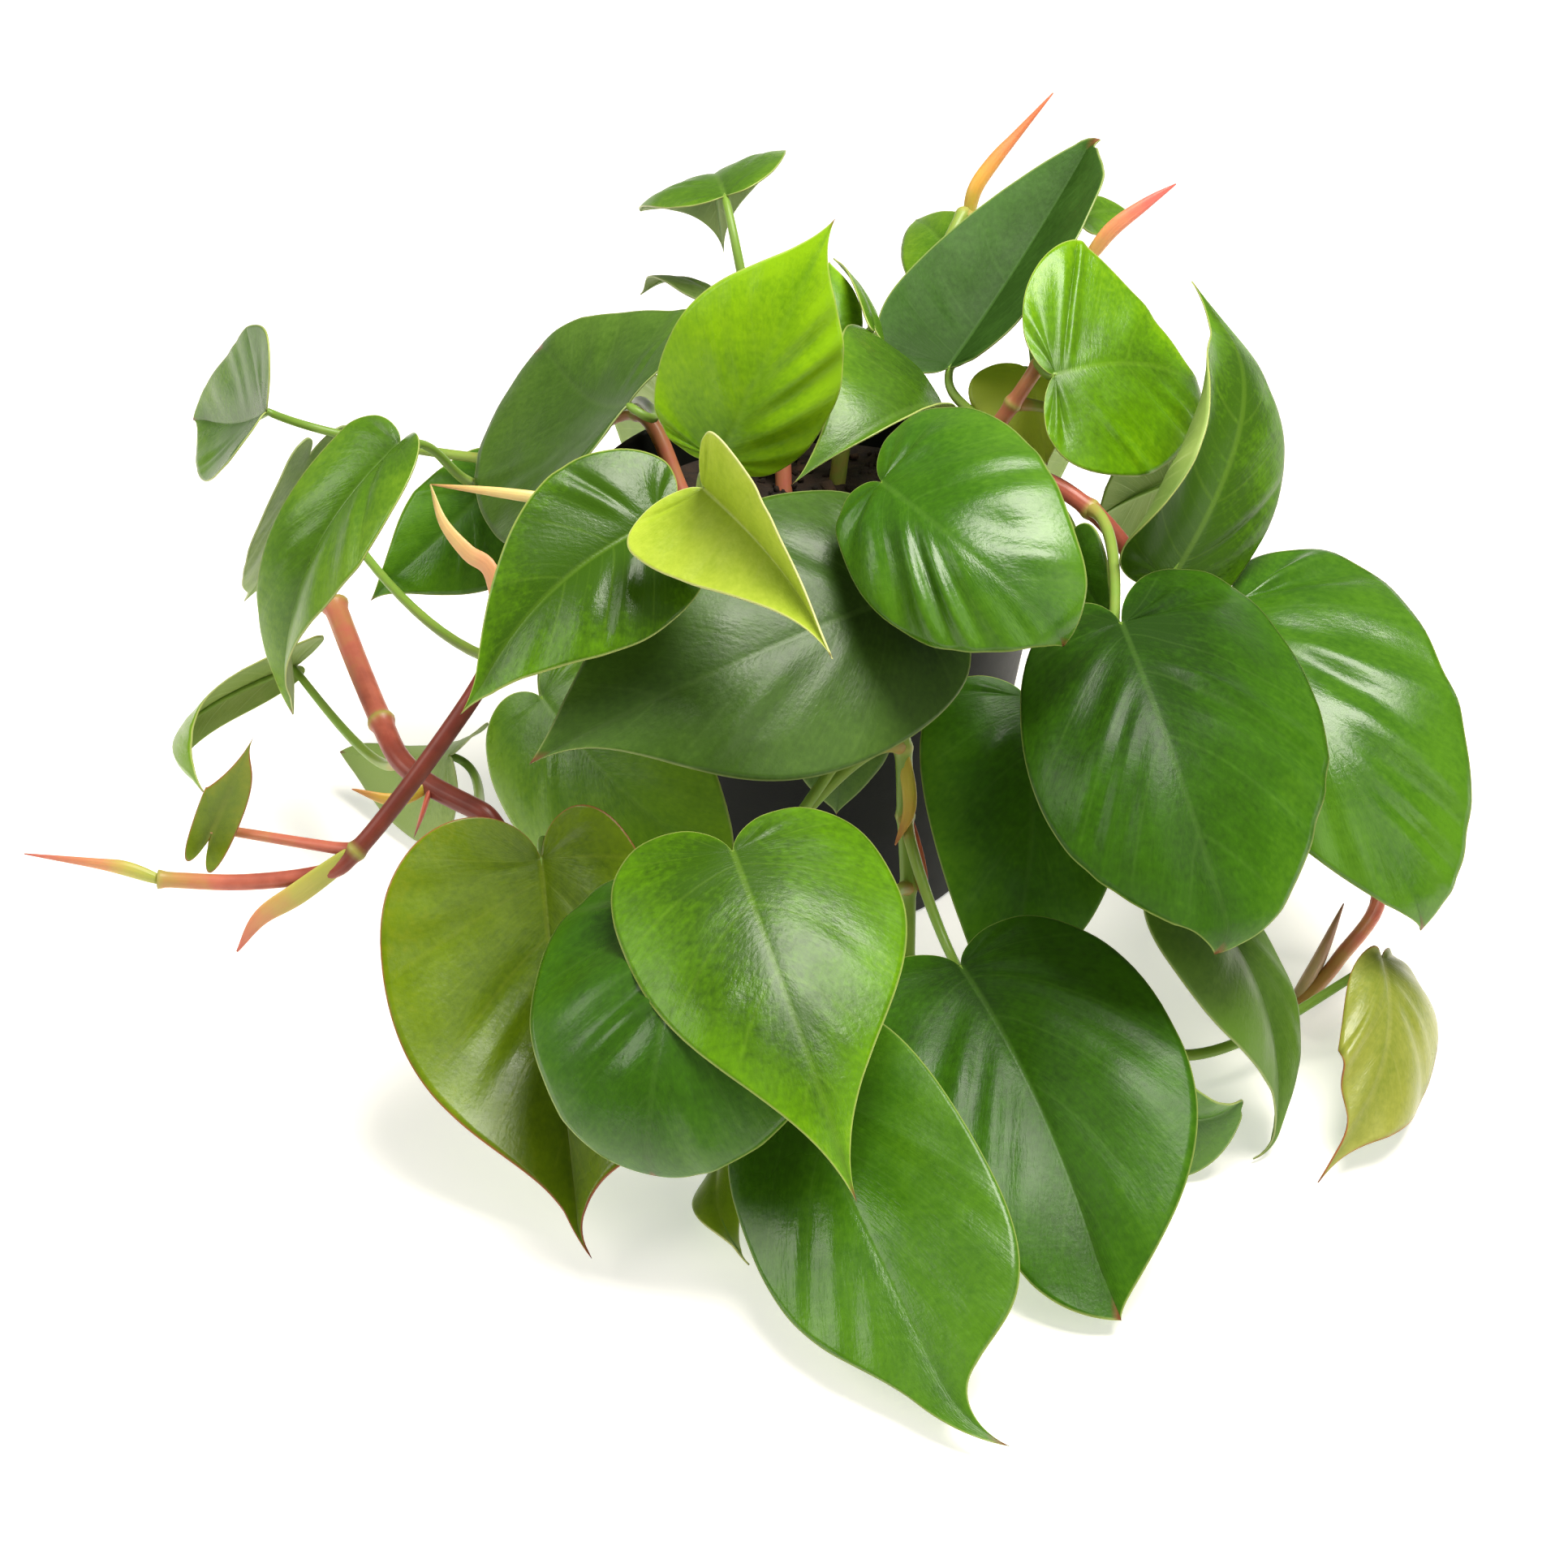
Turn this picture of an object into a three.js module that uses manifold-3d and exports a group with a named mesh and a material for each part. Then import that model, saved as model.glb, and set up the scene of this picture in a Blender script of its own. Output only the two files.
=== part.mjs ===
// Heartleaf philodendron in a nursery pot, in millimetres, +Z up.
// The origin is the centre of the pot's foot, on the surface that the pot stands on.
// The plant is seen from -Y and above, and its newest leaves turn that way, to the light.

import * as THREE from 'three';
import { mergeVertices } from 'three/addons/utils/BufferGeometryUtils.js';
import Module from 'manifold-3d';

const wasm = await Module();
wasm.setup();

// Pot and soil
const POT_HEIGHT = 120;
const RIM_RADIUS = 70;
const RIM_DEPTH = 11;
const RIM_WALL = 2.5;
const BAND_STEP = 2.5;
const FOOT_RADIUS = 51;
const WALL = 2;
const BASE_THICKNESS = 2.5;
const SOIL_DEPTH_BELOW_RIM = 14;
const SOIL_DOME = 3;
const POT_SIDES = 36;
const SEAT_GAP = 0.3;
const WELD = 0.002;

// Leaves, petioles and vines
const BLADE_THICKNESS = 0.9;
const PETIOLE_RADIUS = 1.3;
const PETIOLE_FOOT_RADIUS = 1.8;
const PETIOLE_SIDES = 5;
const PETIOLE_STEPS = 6;
const PETIOLE_REACH = 0.38;
const VINE_SIDES = 6;
const VINE_STEPS_PER_NODE = 2;
const NODE_SWELL = 1.25;
const SPIKE_RADIUS = 2.2;
const SPIKE_BASE = 1.08;
const SPIKE_SIDES = 5;
const VINE_TAPER = 0.25;
const BURIED_LENGTH = 22;
const LIGHT = new THREE.Vector3(0, -0.84, 0.54);

// Rows run from the sinus, round the lobe and on to the tip, and columns from the midrib to the edge
const LARGE_ROWS = [0, 0.08, 0.18, 0.29, 0.4, 0.52, 0.65, 0.78, 0.9, 1];
const SMALL_ROWS = [0, 0.12, 0.27, 0.42, 0.6, 0.8, 1];
const COLUMNS = [0.55, 1];
const ROLLED_COLUMNS = [0.28, 0.52, 0.76, 1];
const SMALL_LEAF = 45;
const ROLLED_CUP = 100;
const LOBE_END = 0.4;

// Colours of the plant and the pot
const COLOURS = {
  pot: '#2a2c2d',
  soil: '#3a2a1f',
  vine: '#8a3f35',
  bright: '#5d9a2b',
  lime: '#9cb833',
  mid: '#3f7f2a',
  dark: '#2f6a2c',
  dull: '#41703a',
  olive: '#6f8a1f',
  yellow: '#9a9a3a',
  grey: '#7c9a6e',
};

// Vines by their points, from the soil outwards; every point past the first is a leaf node. A vine thins
// outwards by VINE_TAPER, or by a taper of its own.
// A vine's spikes are its buds and the papery sheaths of its young leaves, by their points.
const VINES = [
  { "name": "vine_left_low", "radius": 2.8, "taper": -0.3, "points":
    [[-36, -22, 106], [-56, -44, 128], [-66, -52, 104], [-85, -62, 41], [-98, -54, 45], [-114, -44, 48],
     [-124, -34, 51], [-131, -18, 54], [-140, 4, 60], [-150, 30, 67]], "spikes":
    [[[-114, -44, 48], [-124, -50, 47], [-136, -52, 52]], [[-114, -44, 48], [-116, -50, 43],
     [-119, -52, 35]]] },
  { "name": "vine_left_front", "radius": 3, "points":
    [[-46, -8, 106], [-68, -18, 128], [-90, -46, 98], [-99, -60, 87], [-117, -74, 66], [-131, -84, 52],
     [-140, -86, 46], [-163, -88, 44], [-187, -88, 45]], "spikes":
    [[[-68, -18, 128], [-81, -24, 133], [-95, -22, 134], [-111, -20, 135]], [[-90, -46, 98],
     [-93, -38, 116], [-100, -33, 120], [-107, -28, 127], [-111, -20, 135]], [[-187, -88, 45],
     [-204, -86, 49], [-225, -84, 51]], [[-131, -84, 52], [-147, -90, 42], [-158, -94, 36],
     [-165, -98, 27]]] },
  { "name": "vine_left_back", "radius": 2.6, "points":
    [[-40, 26, 106], [-55, 43, 127], [-86, 54, 104], [-94, 54, 100], [-99, 52, 95]] },
  { "name": "vine_top", "radius": 2.6, "points":
    [[6, 34, 106], [8, 36, 120], [12, 41, 132], [18, 48, 143], [25, 57, 152], [30, 62, 157],
     [35, 68, 162], [40, 75, 168], [45, 84, 174], [47, 92, 168]], "spikes":
    [[[47, 92, 168], [52, 96, 184], [61, 102, 192], [73, 108, 204]]] },
  { "name": "vine_right_top", "radius": 2.6, "points":
    [[34, 20, 106], [42, 16, 120], [50, 13, 133], [57, 12, 145], [64, 14, 156], [74, 38, 159],
     [81, 56, 171]], "spikes": [[[81, 56, 171], [88, 58, 180], [98, 61, 187], [107, 64, 192]]] },
  { "name": "vine_right", "radius": 2.8, "points":
    [[48, -6, 106], [60, -8, 130], [78, -18, 126], [96, -28, 108], [118, -40, 84], [140, -52, 48],
     [163, -68, 28], [149, -90, 18], [133, -106, 10]], "spikes":
    [[[134, -103, 9], [143, -92, 19], [151, -80, 31]]] },
  { "name": "vine_right_front", "radius": 2.8, "points":
    [[40, -32, 106], [54, -48, 128], [66, -60, 104], [70, -70, 76], [70, -84, 40], [76, -98, 25],
     [86, -118, 16]] },
  { "name": "vine_front", "radius": 2.8, "points":
    [[6, -44, 106], [13, -68, 127], [19, -77, 106], [23, -80, 84], [24, -84, 64], [25, -91, 44],
     [25, -100, 24]], "spikes":
    [[[23, -80, 84], [25, -88, 70], [21, -93, 60]], [[24, -84, 64], [28, -90, 49], [30, -92, 40]]] },
  { "name": "vine_front_left", "radius": 2.8, "points":
    [[-24, -40, 106], [-34, -60, 127], [-44, -72, 100], [-52, -78, 70], [-58, -90, 36]] },
  { "name": "vine_back", "radius": 2.6, "points":
    [[-10, 30, 106], [-11, 42, 122], [-14, 56, 129], [-16, 66, 129], [-20, 76, 122], [-28, 86, 100],
     [-32, 92, 66]] },
];

// Leaves: the vine and node that carry each, the sinus (base) and the tip, and the form of its blade.
// Folds and cups are in degrees for the left and right half, as seen with the tip up, and rise to the light.
// Skew, arch and wave bend the midrib and the edge, and curl and hook turn the tip. Lobe, wide, full and
// point guide the outline from the sinus to the tip, one for each half where they differ, and a low drip
// draws the tip out. Bend and side turn the way in which the petiole meets the blade, and leave the way in
// which it leaves the vine.
const LEAVES = [
  { "name": "left_far", "vine": "vine_left_back", "node": 2, "base": [-170.9, 58.8, 119.7],
    "tip": [-204.2, 110.1, 92.7], "colour": "grey", "width": 52, "uneven": 1.13, "roll": 4, "folds": [24, 17],
    "cups": [-7, -9], "arch": -3, "skew": -4, "lobe": [0.04, 0.12], "wide": [0.33, 0.28], "full": [0.6, 0.33],
    "point": [0.02, 0.49], "drip": 0.86, "bend": 140, "leave": [0, 0.1, -0.2], "side": 0 },
  { "name": "left_tall", "vine": "vine_left_back", "node": 3, "base": [-122.2, 2.8, 136.3],
    "tip": [-156, -9.5, 48.6], "colour": "mid", "width": 53, "uneven": 0.72, "roll": 19, "folds": [64, 8],
    "cups": [-48, -33], "arch": 17, "skew": 7, "lobe": 0.04, "wide": [0.3, 0.04], "full": [0.4, 0.67],
    "point": [0.09, 0.55], "leave": [-0.5, 0, -0.75] },
  { "name": "left_shade", "vine": "vine_left_low", "node": 2, "base": [-160, 68.7, 99],
    "tip": [-189.7, 96.4, 31.8], "colour": "grey", "width": 36, "uneven": 1.01, "roll": -71, "folds": [9, 14],
    "cups": [-25, -1], "arch": 5, "skew": 6, "lobe": [0.11, 0.14], "wide": [0.17, 0.25], "full": [0.6, 0.69],
    "point": [0.16, 0.11], "drip": 0.82, "bend": 160, "leave": [0, -0.6, -0.8], "side": -30 },
  { "name": "left_dark", "vine": "vine_left_back", "node": 4, "base": [-102.2, 61.1, 92.7],
    "tip": [-141.4, 45.7, 59.9], "colour": "dark", "width": 42, "uneven": 0.78, "roll": 4, "folds": [8, 7],
    "cups": [-23, -27], "skew": -2, "lobe": [0.11, 0.15], "wide": [0.23, 0.33], "full": [0.59, 0.49],
    "point": [0.06, 0.23], "drip": 0.79, "bend": 10, "leave": [0, 0, 0] },
  { "name": "back_left_big", "vine": "vine_left_back", "node": 1, "base": [-55, -6, 153.5],
    "tip": [-85.6, 68, 141.6], "colour": "dull", "width": 92, "uneven": 0.92, "roll": -11, "folds": [6, -2],
    "cups": [-14, -32], "arch": -6, "skew": -8, "curl": 24, "lobe": 0.04, "wide": [0.28, 0.49],
    "full": [0.92, 0.39], "point": [0.8, 0.38], "drip": 0.94 },
  { "name": "top_bright", "vine": "vine_back", "node": 1, "base": [-28.6, -23.3, 144.7],
    "tip": [4.1, -8.3, 211.7], "colour": "bright", "width": 52, "uneven": 0.9, "folds": [3, -3],
    "cups": [-27, -29], "arch": 9, "skew": 1, "lobe": [0.05, 0.04], "wide": 0.31, "full": [0.68, 0.7],
    "point": [0.19, 0.02], "drip": 0.75 },
  { "name": "centre_left", "vine": "vine_left_front", "node": 1, "base": [-42.8, -86.6, 158.6],
    "tip": [-93.2, -118.6, 116.3], "colour": "bright", "width": 55, "uneven": 0.94, "roll": 19,
    "folds": [17, 21], "cups": [-32, -19], "arch": 10, "skew": 7, "lobe": [0.04, 0.14], "wide": [0.29, 0.09],
    "full": [0.54, 0.36], "point": [0.07, 0.02], "drip": 0.79 },
  { "name": "new_lime", "vine": "vine_front_left", "node": 1, "base": [-30.5, -99.4, 175],
    "tip": [1.3, -156.8, 157.8], "colour": "lime", "width": 49, "uneven": 1.03, "roll": 31, "folds": [38, 33],
    "cups": [0, 0], "arch": -9, "skew": -1, "lobe": [0.04, 0.08], "wide": 0.0, "full": [0.33, 0.3],
    "point": 0.02, "drip": 0.64, "leave": [0, 0.6, 1.2] },
  { "name": "top_arched", "vine": "vine_top", "node": 2, "base": [36.7, 15.6, 142.4],
    "tip": [-9.8, -31.7, 139.2], "colour": "mid", "width": 40, "uneven": 1.7, "roll": 16, "folds": [-3, 9],
    "cups": [106, -21], "arch": 20, "skew": -1, "lobe": 0.04, "wide": [0.15, 0.16], "full": [0.53, 0.4],
    "point": 0.02, "drip": 0.73 },
  { "name": "mid_round", "vine": "vine_right_front", "node": 1, "base": [16, -69.5, 161.4],
    "tip": [67.1, -114.1, 135.5], "colour": "dark", "width": 67, "uneven": 0.84, "roll": -14,
    "folds": [3, -3], "cups": [-29, -45], "arch": 17, "skew": 5, "curl": 61, "lobe": [0.19, 0.11],
    "wide": [0.14, 0.41], "full": [0.45, 0.84], "point": [0.55, 0.12], "drip": 0.88 },
  { "name": "top_dark", "vine": "vine_right_top", "node": 2, "base": [39.5, 35.1, 146],
    "tip": [85.7, 97.4, 194.5], "colour": "dull", "width": 61, "uneven": 1.1, "roll": -25, "folds": [20, 44],
    "cups": [11, 4], "arch": -5, "skew": -1, "curl": 65, "hook": 105, "curlFrom": 0.94, "lobe": [0.11, 0.04],
    "wide": [0.11, 0.2], "full": [0.3, 0.87], "point": [0.67, 0.8], "drip": 0.75, "leave": [0.3, 0, 0] },
  { "name": "right_big", "vine": "vine_right", "node": 2, "base": [80.5, -88.3, 128.8],
    "tip": [108.1, -163, 68.8], "colour": "dark", "width": 102, "uneven": 0.76, "roll": -30,
    "folds": [2, -17], "cups": [-27, -52], "arch": 15, "skew": 10, "curl": 69, "curlFrom": 0.88,
    "lobe": [0.24, 0.18], "wide": [0.27, 0.33], "full": [0.57, 0.86], "point": [0.41, 0.31], "drip": 0.83,
    "bend": 95, "leave": [0.7, -0.6, 0.5] },
  { "name": "right_outer", "vine": "vine_right", "node": 4, "base": [118.5, -38.9, 107.1],
    "tip": [168.5, -119.9, 46.4], "colour": "dark", "width": 80, "uneven": 0.82, "roll": -3,
    "folds": [-11, 8], "cups": [-20, -24], "arch": 18, "skew": 1, "curl": 42, "hook": 16, "curlFrom": 0.88,
    "lobe": [0.16, 0.11], "wide": [0.11, 0.15], "full": [0.81, 0.74], "point": [0.25, 0.02], "drip": 0.91 },
  { "name": "right_folded", "vine": "vine_right", "node": 3, "base": [99.1, -43.1, 116.1],
    "tip": [109.2, 60.3, 156.4], "colour": "bright", "width": 63, "uneven": 0.78, "roll": 59,
    "folds": [-46, 24], "cups": [128, -28], "arch": 23, "skew": -9, "curlFrom": 0.74, "lobe": [0.06, 0.04],
    "wide": [0.14, 0.37], "full": [0.3, 0.51], "point": [0.02, 0.06], "drip": 0.67, "bend": 80 },
  { "name": "right_top", "vine": "vine_right_top", "node": 4, "base": [68, 3.7, 158.1],
    "tip": [116.3, 32.3, 138.9], "colour": "bright", "width": 75, "uneven": 0.91, "roll": -4,
    "folds": [-13, 15], "cups": [-6, -15], "arch": 9, "skew": -8, "curl": 39, "lobe": [0.13, 0.09],
    "wide": [0.24, 0.38], "full": [0.3, 0.61], "point": [0.02, 0.36], "drip": 0.82 },
  { "name": "centre_big", "vine": "vine_front", "node": 1, "base": [21.6, -76.7, 130.6],
    "tip": [-78, -121.2, 105.2], "colour": "dull", "width": 82, "uneven": 1.07, "roll": 17, "folds": [4, 6],
    "cups": [-31, -26], "arch": 10, "skew": -2, "lobe": [0.13, 0.1], "wide": [0.26, 0.25],
    "full": [0.7, 0.66], "point": [0.02, 0.38], "drip": 0.72 },
  { "name": "left_lower", "vine": "vine_front_left", "node": 2, "base": [-77.8, -68.3, 93.2],
    "tip": [-21.1, -110.5, 60.7], "colour": "mid", "width": 64, "uneven": 1.03, "roll": 8, "folds": [8, 3],
    "cups": [-25, -34], "arch": 7, "skew": 4, "lobe": [0.11, 0.14], "wide": [0.17, 0.29], "full": [0.68, 0.7],
    "point": [0.27, 0.12], "drip": 0.87 },
  { "name": "olive_front", "vine": "vine_front_left", "node": 4, "base": [-75.4, -119.3, 73.2],
    "tip": [-61.7, -208.5, 10.5], "colour": "olive", "width": 83, "uneven": 1.1, "roll": 23,
    "folds": [20, 38], "cups": [-46, 0], "arch": -9, "skew": 5, "curl": 40, "hook": -41, "curlFrom": 0.88,
    "lobe": [0.12, 0.14], "wide": [0.5, 0.13], "full": [0.92, 0.78], "point": 0.02, "drip": 0.69, "bend": 20,
    "leave": [-0.9, -0.6, -0.2] },
  { "name": "front_dark", "vine": "vine_front", "node": 3, "base": [-34.4, -156.8, 84],
    "tip": [-45.7, -212.1, 31.2], "colour": "dark", "width": 89, "uneven": 0.96, "roll": 14, "folds": [2, -4],
    "cups": [-33, -31], "arch": 25, "skew": -4, "curl": 59, "curlFrom": 0.8, "lobe": [0.11, 0.17],
    "wide": [0.18, 0.19], "full": [0.81, 0.73], "point": [0.3, 0.34], "drip": 0.94 },
  { "name": "front_heart", "vine": "vine_front", "node": 2, "base": [-23.1, -151.3, 97.6],
    "tip": [8.3, -229, 46.4], "colour": "bright", "width": 76, "uneven": 0.94, "roll": -10, "folds": [-4, 4],
    "cups": [-23, -32], "arch": 10, "skew": 1, "lobe": [0.12, 0.13], "wide": [0.17, 0.11],
    "full": [0.55, 0.58], "point": [0.02, 0.17], "drip": 0.67, "bend": 80, "leave": [0, -0.5, 0] },
  { "name": "hang_dark", "vine": "vine_right_front", "node": 2, "base": [57.5, -69.6, 94.2],
    "tip": [50, -118.8, 19.5], "colour": "dull", "width": 59, "uneven": 1.06, "roll": -6, "folds": [7, 6],
    "cups": [-25, -27], "arch": 13, "skew": -3, "lobe": [0.11, 0.06], "wide": [0.19, 0.2],
    "full": [0.76, 0.52], "point": [0.02, 0.26], "drip": 0.89 },
  { "name": "front_right", "vine": "vine_front", "node": 4, "base": [38, -129, 44.8],
    "tip": [73.8, -225.5, 3.7], "colour": "dark", "width": 71, "uneven": 0.81, "roll": -6, "folds": [21, 12],
    "cups": [-38, -12], "arch": 7, "skew": -3, "lobe": 0.08, "wide": [0.39, 0.16], "full": [0.81, 0.73],
    "point": [0.02, 0.73], "drip": 0.94, "leave": [-0.2, -0.7, 0.2] },
  { "name": "front_low", "vine": "vine_front", "node": 5, "base": [-7.3, -176.2, 42.5],
    "tip": [38.3, -273, 1.6], "colour": "dark", "width": 64, "uneven": 0.92, "roll": 1, "folds": [6, 7],
    "cups": [-13, -24], "arch": 4, "curl": 40, "hook": -83, "curlFrom": 0.8, "lobe": [0.15, 0.04],
    "wide": [0.42, 0.36], "full": [0.91, 0.68], "point": [0.02, 0.34], "drip": 0.65 },
  { "name": "right_low", "vine": "vine_right_front", "node": 4, "base": [104.2, -118.1, 59.1],
    "tip": [121.1, -158.4, -2.6], "colour": "dull", "width": 50, "uneven": 1.42, "roll": -53,
    "folds": [20, 27], "cups": [-27, -57], "arch": 13, "skew": -4, "curl": 71, "hook": 56,
    "wide": [0.13, 0.14], "full": [0.81, 0.6], "point": [0.21, 0.02], "drip": 0.64 },
  { "name": "right_yellow", "vine": "vine_right_front", "node": 6, "base": [156.4, -112.7, 35.4],
    "tip": [131.9, -168.5, 1.2], "colour": "yellow", "width": 41, "uneven": 0.67, "roll": -32,
    "folds": [11, -5], "cups": [-41, -39], "arch": 15, "skew": -2, "wave": 2, "lobe": [0.12, 0.04],
    "wide": [0.11, 0.5], "full": [0.69, 0.61], "point": [0.06, 0.02], "drip": 0.64, "bend": 86,
    "leave": [-0.8, -0.3, -0.4] },
  { "name": "left_low_far", "vine": "vine_left_low", "node": 6, "base": [-166.1, 36.5, 41],
    "tip": [-179.7, -31.9, 39.3], "colour": "grey", "width": 27, "uneven": 0.61, "roll": 94,
    "folds": [-21, -19], "cups": [-16, -46], "arch": 35, "skew": 16, "lobe": [0.05, 0.04],
    "wide": [0.0, 0.19], "full": [0.92, 0.5], "point": [0.07, 0.8], "drip": 0.7, "bend": 81,
    "leave": [0.3, -0.3, -0.5] },
  { "name": "top_edge_on", "vine": "vine_back", "node": 2, "base": [-28.1, 82.9, 181],
    "tip": [-25.3, 132.3, 122.7], "colour": "mid", "width": 50, "uneven": 0.96, "roll": 175, "folds": [4, 18],
    "cups": [-36, -26], "arch": 31, "skew": -1, "curlFrom": 0.55, "lobe": 0.04, "wide": [0.39, 0.36],
    "full": [0.49, 0.56], "point": [0.02, 0.04], "drip": 0.64, "bend": 23, "leave": [-0.1, -0.0, -0.0] },
  { "name": "top_sliver", "vine": "vine_back", "node": 4, "base": [-32.6, 95.6, 142.6],
    "tip": [-56.4, 115.1, 133], "colour": "grey", "width": 22, "uneven": 0.88, "roll": 75, "folds": [14, 4],
    "cups": [-22, -48], "arch": 18, "skew": -3, "lobe": [0.1, 0.11], "wide": [0.1, 0.21],
    "full": [0.58, 0.59], "point": [0.07, 0.02], "drip": 0.79 },
  { "name": "behind_bright", "vine": "vine_top", "node": 1, "base": [3.3, 40, 156.1], "tip": [3.6, 62, 167.9],
    "colour": "bright", "width": 22, "roll": 19, "leave": [-1, 0, 0.5] },
  { "name": "behind_bright_low", "vine": "vine_top", "node": 3, "base": [16.9, 33, 160],
    "tip": [4.9, 69, 166], "colour": "mid", "width": 12, "roll": 74, "leave": [0, 0, 0] },
  { "name": "back_pale", "vine": "vine_top", "node": 5, "base": [43.6, 73.4, 159.3],
    "tip": [31.6, 116, 158.4], "colour": "mid", "width": 27, "uneven": 0.92, "roll": -3, "folds": [9, 12],
    "cups": [-25, -22], "arch": 10, "skew": 3, "wide": [0.17, 0.18], "full": [0.61, 0.62], "point": 0.14,
    "drip": 0.85, "bend": 60, "leave": [0.3, 0, 0.2] },
  { "name": "back_top_small", "vine": "vine_top", "node": 7, "base": [80.9, 82, 174.5],
    "tip": [97.6, 96, 169.7], "colour": "mid", "width": 18, "roll": -32, "leave": [0.5, 0, 0.6] },
  { "name": "yellow_inner", "vine": "vine_right_top", "node": 1, "base": [62.9, 36.0, 144.6],
    "tip": [68.4, 17.0, 122.0], "colour": "lime", "width": 38, "roll": -1, "full": [0.3, 0.6] },
  { "name": "brown_under", "vine": "vine_right_top", "node": 3, "base": [107, 30, 110], "tip": [83, 8, 109],
    "colour": "dull", "width": 34, "roll": 150, "leave": [0, 0, 0.4] },
  { "name": "striped_inner", "vine": "vine_right", "node": 1, "base": [72, -24, 116], "tip": [85, -46, 102],
    "colour": "dark", "width": 26, "roll": 50 },
  { "name": "inner_hang", "vine": "vine_front", "node": 3, "base": [5.7, -76.0, 97.2],
    "tip": [4.7, -76.0, 59.2], "colour": "dull", "width": 33, "folds": [14, 14], "leave": [-0.8, 0, 0.6],
    "roll": -22 },
  { "name": "left_behind_big", "vine": "vine_left_low", "node": 2, "base": [-67, -40, 84],
    "tip": [-80, -46, 72], "colour": "dark", "width": 26, "leave": [0, -0.8, -0.3] },
  { "name": "twisted_tip", "vine": "vine_front", "node": 6, "base": [-27, -165, 8], "tip": [-19, -205, 7],
    "colour": "mid", "width": 14, "roll": 40, "twist": 120, "curl": 40, "skew": 10 },
  { "name": "right_low_curl", "vine": "vine_right_front", "node": 5, "base": [90.2, -161.6, 20],
    "tip": [114.3, -156.8, 22.7], "colour": "dark", "width": 34, "uneven": 1.07, "roll": 54,
    "folds": [12, 33], "cups": [-39, -5], "arch": 17, "skew": 2, "curl": 90, "hook": 90, "wide": [0.25, 0.16],
    "full": [0.34, 0.41], "point": [0.02, 0.31], "drip": 0.8 },
  { "name": "left_pale", "vine": "vine_left_low", "node": 4, "base": [-112.5, -11.4, 37.8],
    "tip": [-152, 28.2, 16], "colour": "grey", "width": 36, "uneven": 0.6, "roll": 9, "folds": [-8, -17],
    "cups": [-16, -53], "arch": -5, "skew": -6, "lobe": [0.11, 0.26], "wide": [0.22, 0.14],
    "full": [0.49, 0.64], "point": [0.17, 0.42], "drip": 0.91, "bend": 112, "leave": [0.1, -0.2, -0.3] },
  { "name": "left_curled", "vine": "vine_left_front", "node": 5, "base": [-173.2, -74.2, 51.8],
    "tip": [-158.2, -75.3, 84.9], "colour": "olive", "width": 13, "uneven": 0.97, "roll": 25,
    "folds": [-9, 8], "cups": [-26, 20], "arch": -4, "skew": 1, "lobe": 0.3, "wide": [0.34, 0.09],
    "full": [0.3, 0.8], "point": 0.02, "drip": 0.64, "bend": 60, "leave": [0, 0, 0], "side": 30 },
  { "name": "back_high", "vine": "vine_back", "node": 3, "base": [8, 88, 124], "tip": [18, 146, 66],
    "colour": "mid", "width": 70, "roll": 180, "full": 0.66 },
  { "name": "back_left", "vine": "vine_back", "node": 5, "base": [-44, 100, 100], "tip": [-62, 148, 40],
    "colour": "dark", "width": 66, "roll": 190, "full": 0.7 },
  { "name": "back_right", "vine": "vine_top", "node": 8, "base": [60, 82, 98], "tip": [76, 124, 36],
    "colour": "dark", "width": 64, "roll": 170, "full": 0.7, "leave": [1.6, -0.4, 0.4] },
  { "name": "back_low", "vine": "vine_back", "node": 6, "base": [-4, 106, 52], "tip": [6, 146, 6],
    "colour": "mid", "width": 56, "roll": 180 },
];

// Values of a leaf that its row leaves out
const COMMON = {
  width: 80, uneven: 1, roll: 0, folds: [8, 8], cups: [-25, -25], arch: 6, skew: 0, twist: 0, wave: 0,
  curl: 0, hook: 0, curlFrom: 0.86, lobe: 0.11, wide: 0.17, full: 0.6, point: 0.12, drip: 0.84, bend: 50,
  side: 0, leave: [0, 0, 0.8],
};

const radians = THREE.MathUtils.degToRad;

// One value of a cubic curve through four guide values
function cubic(a, b, c, d, t) {
  const s = 1 - t;
  return s * s * s * a + 3 * s * s * t * b + 3 * s * t * t * c + t * t * t * d;
}

// A value of a leaf that may differ between its left and its right half
function ofHalf(value, right) {
  return Array.isArray(value) ? value[right ? 1 : 0] : value;
}

// Half outline of the flat heart: x in half widths, y in lengths from the sinus
function outline(v, leaf, right) {
  const wide = ofHalf(leaf.wide, right);
  if (v < LOBE_END) {
    const t = v / LOBE_END;
    const lobe = ofHalf(leaf.lobe, right);
    return [cubic(0, 0.1, 1, 1, t), cubic(0, -1.2 * lobe, -1.85 * lobe, wide, t)];
  }
  const t = (v - LOBE_END) / (1 - LOBE_END);
  return [
    cubic(1, 1, ofHalf(leaf.point, right), 0, t), cubic(wide, ofHalf(leaf.full, right), leaf.drip, 1, t),
  ];
}

// Where on the midrib the side vein starts that ends at v on the outline
function veinStart(v) {
  return v < 0.3 ? 0 : ((v - 0.3) / 0.7) ** 1.8;
}

// Across a half blade: the angle at the midrib is fold, and it turns by cup up to the edge
function crossArc(fold, cup, t) {
  if (Math.abs(cup) < 1e-4) {
    return [t * Math.cos(fold), t * Math.sin(fold)];
  }
  return [(Math.sin(fold + cup * t) - Math.sin(fold)) / cup, (Math.cos(fold) - Math.cos(fold + cup * t)) / cup];
}

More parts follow.
